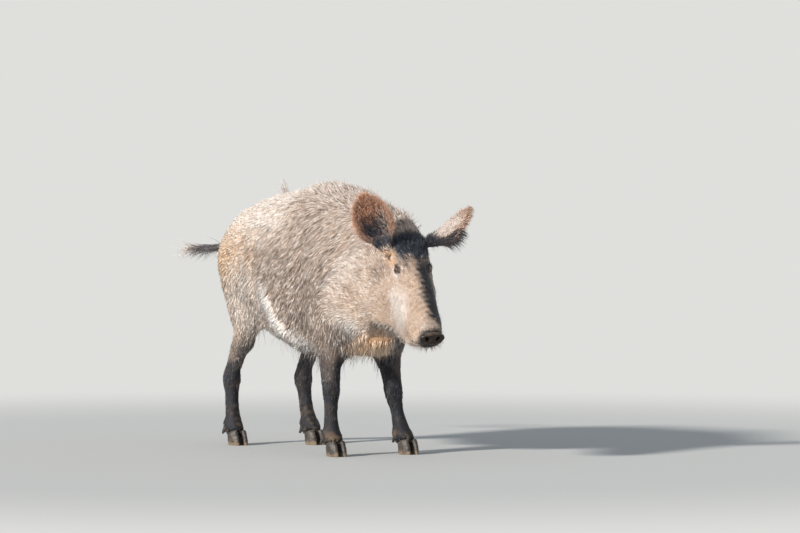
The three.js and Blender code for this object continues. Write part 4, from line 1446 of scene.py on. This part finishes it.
def addDisc():
    shape = discShape
    middle = middleOf("snout_disc")
    _, axes = np.linalg.eigh(np.cov((pointsOf(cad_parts["snout_disc"].data) - middle).T))
    out, over, along = (axes[:, k] * np.sign(axes[:, k] @ way) for k, way in enumerate((fore, upward, aside)))
    angles = np.arange(shape["around"]) / shape["around"] * 2 * math.pi
    radii, depths = through(shape["rows"], np.linspace(0, 1, shape["rings"])).T
    notch = 1 - 0.05 * ridge(angles - math.pi / 2, 0.35) + 0.012 * np.sin(angles * 5 + 1)
    across = np.outer(radii, np.cos(angles) * notch) * shape["halfWide"]
    high = np.outer(radii, np.sin(angles) * notch) * shape["halfHigh"]
    atSide, atHeight, halfWide, halfHigh = shape["nostril"]
    leaning = abs(across) - atSide - 0.25 * (high - atHeight)
    away = np.hypot(leaning / halfWide, (high - atHeight) / halfHigh)
    front = (np.arange(shape["rings"]) > shape["rings"] * 0.36)[:, None]
    pit = (1 - ramp(away, 0.55, 1.10)) * front
    rise = shape["lip"] * ridge(away - 1.4, 0.35) - shape["pitDepth"] * pit
    rise -= shape["groove"] * ridge(across, 0.0018) * ramp(-high, -0.002, 0.010) * front
    rise = rise * front + depths[:, None] * shape["halfThick"]
    points = middle + across[..., None] * along + high[..., None] * over + rise[..., None] * out
    mesh = loftMesh("snout", points)
    mud = 0.2 * ramp(high, 0.010, 0.018) * (1 - pit)
    # the pit share also carries the nostrils' painted shade to the material
    marks = np.stack([pit, mud, np.zeros_like(mud)], axis=-1).reshape(-1, 3)
    setVectors(mesh, "place", np.concatenate([marks, [[0, 0, 0], [0, 0, 0]]]))
    placed("snout_leather", mesh, materials["disc"], ["snout_disc"])


hoofShape = {
    "voxel": 0.0022,
    "rounds": 14,
    "sole": (0.001, 0.006),  # heights between which the sole's flat fades out
    "swell": 0.0006,
    "ribs": 0.0005,
    "ribWave": 0.012,
}


# Rounds each claw off with its sole left flat, and joins a foot's claws into one piece.
def addHooves():
    shape = hoofShape
    for foot in ("fore_left", "fore_right", "hind_left", "hind_right"):
        names = [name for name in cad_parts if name.startswith(("claw_" + foot, "dewclaw_" + foot))]
        whole = bmesh.new()
        for name in names:
            mesh = remeshed([name], 0.0, shape["voxel"])
            points = pointsOf(mesh)
            eased = smoothed(points, edgesOf(mesh), shape["rounds"], 0.5)
            sole = (1 - ramp(points[:, 2], *shape["sole"])) * (not name.startswith("dewclaw"))
            eased[:, 2] += sole * (points[:, 2] - eased[:, 2])
            eased[:, 2] = np.maximum(eased[:, 2], 0.0)
            swell = shape["swell"] + shape["ribs"] * ripple(points * [1, 1, 3], shape["ribWave"], 7)
            eased += normalsOf(mesh) * swell[:, None] * (1 - sole)[:, None]
            setPoints(mesh, eased)
            whole.from_mesh(mesh)
        mesh = bpy.data.meshes.new("hoof_" + foot)
        whole.to_mesh(mesh)
        whole.free()
        smooth(mesh)
        placed("hoof_" + foot, mesh, materials["horn"], names)
    print("hooves: four feet")


# what some long hairs take on instead of the marks of the skin under them
hairMarks = {
    "dark": {"firstMarks": (0.9, 0.0, 0.0)},
    "light": {"firstMarks": (0.0, 0.4, 0.4), "secondMarks": (0.40, 0.0, 0.0)},
}

# Long hairs by piece: where they grow, how many on a square metre there, length, width, lift, droop, tone,
# and the marks they take on.
longHairs = {
    "body_bristles": [
        ("mane", 9000, 0.050, 0.0015, 0.85, 0.05, 0.35, None),
        ("rump", 3200, 0.032, 0.0013, 0.55, 0.05, 0.20, None),
        ("belly", 3000, 0.046, 0.0011, 0.75, 0.35, 0.1, None),
        ("brisket", 5000, 0.034, 0.0011, 0.8, 0.35, 0.1, None),
        ("elbows", 14000, 0.034, 0.0012, 0.7, 0.3, 0.1, None),
        ("strays", 1100, 0.032, 0.0011, 0.32, 0.10, 0.3, None),
        ("wisp", 130000, 0.075, 0.0014, 1.45, 0.0, 0.25, None),
    ],
    "face_bristles": [
        ("jaw", 16000, 0.022, 0.0008, 0.95, 0.25, 0.35, None),
        ("muzzle", 5000, 0.020, 0.0006, 0.85, 0.2, 0.2, None),
        ("cheeks", 3500, 0.026, 0.0007, 0.7, 0.25, 0.3, None),
        ("lashes", 420000, 0.0095, 0.0007, 0.9, 0.0, -0.3, "dark"),
        ("brow", 12000, 0.020, 0.0008, 0.9, 0.1, 0.2, None),
        ("crown", 16000, 0.026, 0.0011, 0.75, 0.05, 0.1, None),
        # dark hairs under the left ear, mostly standing for painted shade
        ("leftEarShadeHairs", 90000, 0.032, 0.0014, 0.60, 0.45, -0.3, "dark"),
    ],
    "ear_bristles": [
        ("rightRim", 700000, 0.0210, 0.0012, 0.42, 0.05, 0.10, None),
        ("rightRuff", 60000, 0.026, 0.0011, 0.55, 0.10, 0.25, "light"),
        ("leftRim", 600000, 0.018, 0.0012, 0.38, 0.05, 0.15, None),
        # dark hairs on the left ear's lower edge: mostly painted shade, partly dark hair
        ("leftFringe", 420000, 0.034, 0.0013, 0.35, 0.35, -0.2, "dark"),
        ("rightEar", 26000, 0.026, 0.0010, 0.9, 0.1, 0.4, None),
    ],
    "tail_bristles": [
        ("tassel", 110000, 0.062, 0.0012, 0.16, 0.16, 0.15, None),
    ],
}


# Where the long hairs grow, as a share from 0 to 1 for each triangle of the skin.
def longHairPlaces(survey):
    middles, facing = survey["middles"], survey["facing"]
    x, y, z = (middles - bodyOrigin).T
    _, ahead, above = toFace(middles).T
    head = headShare(middles)
    body = (1 - head) * (tailShare(middles) < 0)
    ears = {which: earShare(middles, which) for which in (left, right)}
    free = 1 - np.maximum(ears[left], ears[right])
    rims, lower = {}, {}
    for which in (left, right):
        share, t, height = earPlace(middles, which)
        rims[which] = ears[which] * np.maximum(ramp(abs(t), 0.80, 0.97), ramp(share, 0.80, 0.95))
        lower[which] = ears[which] * ramp(t * lowerSide[which], 0.65, 0.95) * (1 - ramp(share, 0.40, 0.62))
    # here share, t and height are still the right ear's
    ruff = ears[right] * ramp(-t, 0.15, 0.5) * (height > 0) * (1 - ramp(share, 0.45, 0.70))
    top = ramp(facing[:, 2], 0.45, 0.85) * ramp(z, 0.56, 0.62) * free
    under = 1 - ramp(facing[:, 2], -0.75, -0.30)
    elbows = blob(np.stack([abs(x), y, z], axis=1), (0.095, -0.165, 0.300), (0.05, 0.035, 0.06))
    overJaw = above - heightOn(jawEdge, ahead)
    lashes = (eyeSlit(middles) < 0.0045) & (above > 0.0) & (eyeDistance(middles) < 0.0175)
    ear = earShape[left]
    earBase = ear["root"] + 0.15 * ear["along"] - [0, 0, 0.024]
    return {
        "mane": top * body * (1 - ramp(y, 0.0, 0.12)),
        "rump": top * body * ramp(y, 0.0, 0.15),
        "belly": under * body * (z > 0.28) * (z < 0.44) * (y > -0.2) * (y < 0.28),
        "brisket": body * under * (y < -0.2) * (z > 0.25),
        "elbows": elbows,
        "strays": body * (z > 0.33),
        "wisp": blob(middles, bodyOrigin + np.array([-0.02, 0.204, 0.715]), (0.010, 0.006, 0.06), 0.2),
        "jaw": head * (abs(overJaw - 0.004) < 0.016) * (ahead > 0.0),
        "muzzle": head * (ahead > 0.12) * (ahead < 0.25),
        "cheeks": head * (ahead > 0.0) * (ahead < 0.14) * (above < -0.03),
        "lashes": head * lashes,
        "brow": head * (above > 0.012) * (ahead > -0.03) * (ahead < 0.02) * free,
        "crown": head * ramp(above, 0.015, 0.03) * (ahead < -0.04) * free,
        # painted shade under the left ear, as dark hairs
        "leftEarShadeHairs": blob(middles, earBase, (0.030, 0.030, 0.018), 0.2),
        "rightRim": rims[right],
        "rightRuff": ruff,
        "leftRim": rims[left],
        "leftFringe": lower[left],
        "rightEar": ears[right] * (1 - rims[right]),
        "tassel": ramp(tailShare(middles), 0.35, 0.9),
    }


def addLongHairs(survey, rng):
    shares = longHairPlaces(survey)
    for name, kinds in longHairs.items():
        grown = np.max([shares[kind[0]] for kind in kinds], axis=0) > 0
        places = unwrapped(survey, grown)
        parts = []
        for where, crowd, length, width, lift, droop, tone, mark in kinds:
            tufts = rootsOn(survey, shares[where] * crowd, rng)
            if tufts is None:
                continue
            count = len(tufts["root"])
            tufts["length"] = length * rng.uniform(0.6, 1.3, count)
            tufts["width"] = width * rng.uniform(0.8, 1.2, count)
            tufts["lift"] = np.clip(lift * rng.uniform(0.6, 1.3, count), 0, 1.5)
            tufts["droop"] = droop * rng.uniform(0.5, 1.5, count)
            tufts["tone"] = tone + rng.normal(0, 0.25, count)
            turn = rng.normal(0, 0.28, count)[:, None]
            across = np.cross(tufts["normal"], tufts["way"])
            tufts["way"] = tufts["way"] * np.cos(turn) + across * np.sin(turn)
            if mark:
                for marks, values in hairMarks[mark].items():
                    tufts[marks] = np.tile(values, (count, 1))
            tufts["secondMarks"][:, 2] = 0
            parts.append(tufts)
        tufts = {key: np.concatenate([part[key] for part in parts]) for key in parts[0]}
        tufts["uv"] = (places[tufts["triangle"]] * tufts["shares"][:, :, None]).sum(axis=1)
        placed(name, tuftMesh(name, tufts, 3, rng), materials["hair"])
        print("hairs:", name, len(tufts["root"]))


def addCoat(survey, rng):
    members = pieceOf(survey)
    crowd = survey["style"][survey["triangles"], 3].mean(axis=1)
    total = 0
    for number, name in enumerate(pieceNames):
        chosen = members == number
        tufts = gathered(rootsOn(survey, np.where(chosen, crowd, 0), rng), rng)
        places = unwrapped(survey, chosen)
        tufts["uv"] = (places[tufts["triangle"]] * tufts["shares"][:, :, None]).sum(axis=1)
        placed(name, tuftMesh(name, tufts, 2, rng), materials["hair"])
        total += len(tufts["root"])
        print("coat:", name, len(tufts["root"]), "tufts")
    print("coat:", total, "tufts in all")


skin = buildSkin()
survey = surveyed(skin)
setVectors(skin, "firstMarks", survey["firstMarks"])
setVectors(skin, "secondMarks", survey["secondMarks"])
placed("skin", skin, materials["skin"], fleshNodes)
addEyes()
addDisc()
addHooves()
draws = np.random.default_rng(21)
addCoat(survey, draws)
addLongHairs(survey, draws)


viewShape = {
    "azimuth": math.radians(-28),
    "elevation": math.radians(3.5),
    "distance": 16.0,
    "farthest": 400,
    "sensor": 36,
    "width": 2.21914,  # how much the view takes in from left to right, at the anchor's distance
    "anchor": (-0.105, -0.2408, 0.0),  # a spot between the front feet
    "anchorAt": (-0.18308, -0.52566),  # right and up from the middle of the view
}


def addCamera():
    turn, rise = viewShape["azimuth"], viewShape["elevation"]
    back = Vector((math.sin(turn) * math.cos(rise), -math.cos(turn) * math.cos(rise), math.sin(rise)))
    rightward = Vector((math.cos(turn), math.sin(turn), 0))
    above = back.cross(rightward)
    anchor = Vector(viewShape["anchor"])
    atX, atY = viewShape["anchorAt"]
    target = anchor - rightward * atX - above * atY
    location = anchor + back * viewShape["distance"]
    data = bpy.data.cameras.new("camera")
    data.lens = viewShape["sensor"] * (target - location).length / viewShape["width"]
    data.sensor_width = viewShape["sensor"]
    data.clip_end = viewShape["farthest"]
    camera = bpy.data.objects.new("camera", data)
    bpy.context.scene.collection.objects.link(camera)
    camera.location = location
    camera.rotation_mode = "QUATERNION"
    camera.rotation_quaternion = (target - location).to_track_quat("-Z", "Y")
    bpy.context.scene.camera = camera


lightShape = {
    "towards": (0.88, 0.16, -0.44),
    "strength": 4.3,
    "softness": 6,
    "colour": (1.0, 0.965, 0.915),
    "sky": (0.80, 0.89, 1.0, 1),
    "skyStrength": 0.45,
    "backdrop": (0.74, 0.74, 0.72, 1),
    "floor": (0.55, 0.55, 0.535, 1),
    "litFloor": (1.6, 3.6),  # metres from the boar where the floor fades into the backdrop
}


def addSun():
    data = bpy.data.lights.new("keyLight", "SUN")
    data.energy = lightShape["strength"]
    data.angle = math.radians(lightShape["softness"])
    data.color = lightShape["colour"]
    lamp = bpy.data.objects.new("keyLight", data)
    bpy.context.scene.collection.objects.link(lamp)
    lamp.rotation_mode = "QUATERNION"
    lamp.rotation_quaternion = Vector(lightShape["towards"]).to_track_quat("-Z", "Y")


# 1 for the rays that should see the backdrop, 0 for the light the boar gets
def seenBackdrop(nodes, links):
    path = nodes.new("ShaderNodeLightPath")
    total = path.outputs["Is Camera Ray"]
    for name in ("Is Glossy Ray", "Is Transmission Ray"):
        both = nodes.new("ShaderNodeMath")
        both.operation = "MAXIMUM"
        links.new(total, both.inputs[0])
        links.new(path.outputs[name], both.inputs[1])
        total = both.outputs[0]
    return total


def addSky():
    world = bpy.data.worlds.new("studio")
    bpy.context.scene.world = world
    world.use_nodes = True
    nodes, links = world.node_tree.nodes, world.node_tree.links
    light = nodes["Background"]
    light.inputs["Color"].default_value = lightShape["sky"]
    light.inputs["Strength"].default_value = lightShape["skyStrength"]
    seen = nodes.new("ShaderNodeBackground")
    seen.inputs["Color"].default_value = lightShape["backdrop"]
    either = nodes.new("ShaderNodeMixShader")
    links.new(seenBackdrop(nodes, links), either.inputs["Fac"])
    links.new(light.outputs[0], either.inputs[1])
    links.new(seen.outputs[0], either.inputs[2])
    links.new(either.outputs[0], nodes["World Output"].inputs["Surface"])


floorShape = {
    "reach": 60,
    "corners": 64,
    "roughness": 0.9,
    "shine": 0.1,
}


def addFloor():
    mesh = bpy.data.meshes.new("floor")
    reach, corners = floorShape["reach"], floorShape["corners"]
    angles = np.linspace(0, 2 * math.pi, corners, endpoint=False)
    rim = [(reach * math.cos(angle), reach * math.sin(angle), 0) for angle in angles]
    mesh.from_pydata(rim, [], [list(range(corners))])
    floor = objectFrom("floor", mesh)
    paint = bpy.data.materials.new("floorPaint")
    paint.use_nodes = True
    nodes, links = paint.node_tree.nodes, paint.node_tree.links
    body = nodes["Principled BSDF"]
    body.inputs["Base Color"].default_value = lightShape["floor"]
    body.inputs["Roughness"].default_value = floorShape["roughness"]
    body.inputs["Specular IOR Level"].default_value = floorShape["shine"]
    place = nodes.new("ShaderNodeNewGeometry")
    away = nodes.new("ShaderNodeVectorMath")
    away.operation = "LENGTH"
    links.new(place.outputs["Position"], away.inputs[0])
    fade = nodes.new("ShaderNodeMapRange")
    fade.interpolation_type = "SMOOTHSTEP"
    fade.inputs["From Min"].default_value, fade.inputs["From Max"].default_value = lightShape["litFloor"]
    links.new(away.outputs["Value"], fade.inputs["Value"])
    backdrop = nodes.new("ShaderNodeEmission")
    backdrop.inputs["Color"].default_value = lightShape["backdrop"]
    either = nodes.new("ShaderNodeMixShader")
    links.new(fade.outputs["Result"], either.inputs["Fac"])
    links.new(body.outputs[0], either.inputs[1])
    links.new(backdrop.outputs[0], either.inputs[2])
    links.new(either.outputs[0], nodes["Material Output"].inputs["Surface"])
    mesh.materials.append(paint)


addCamera()
addSun()
addSky()
addFloor()
bpy.context.scene.view_settings.view_transform = "Standard"
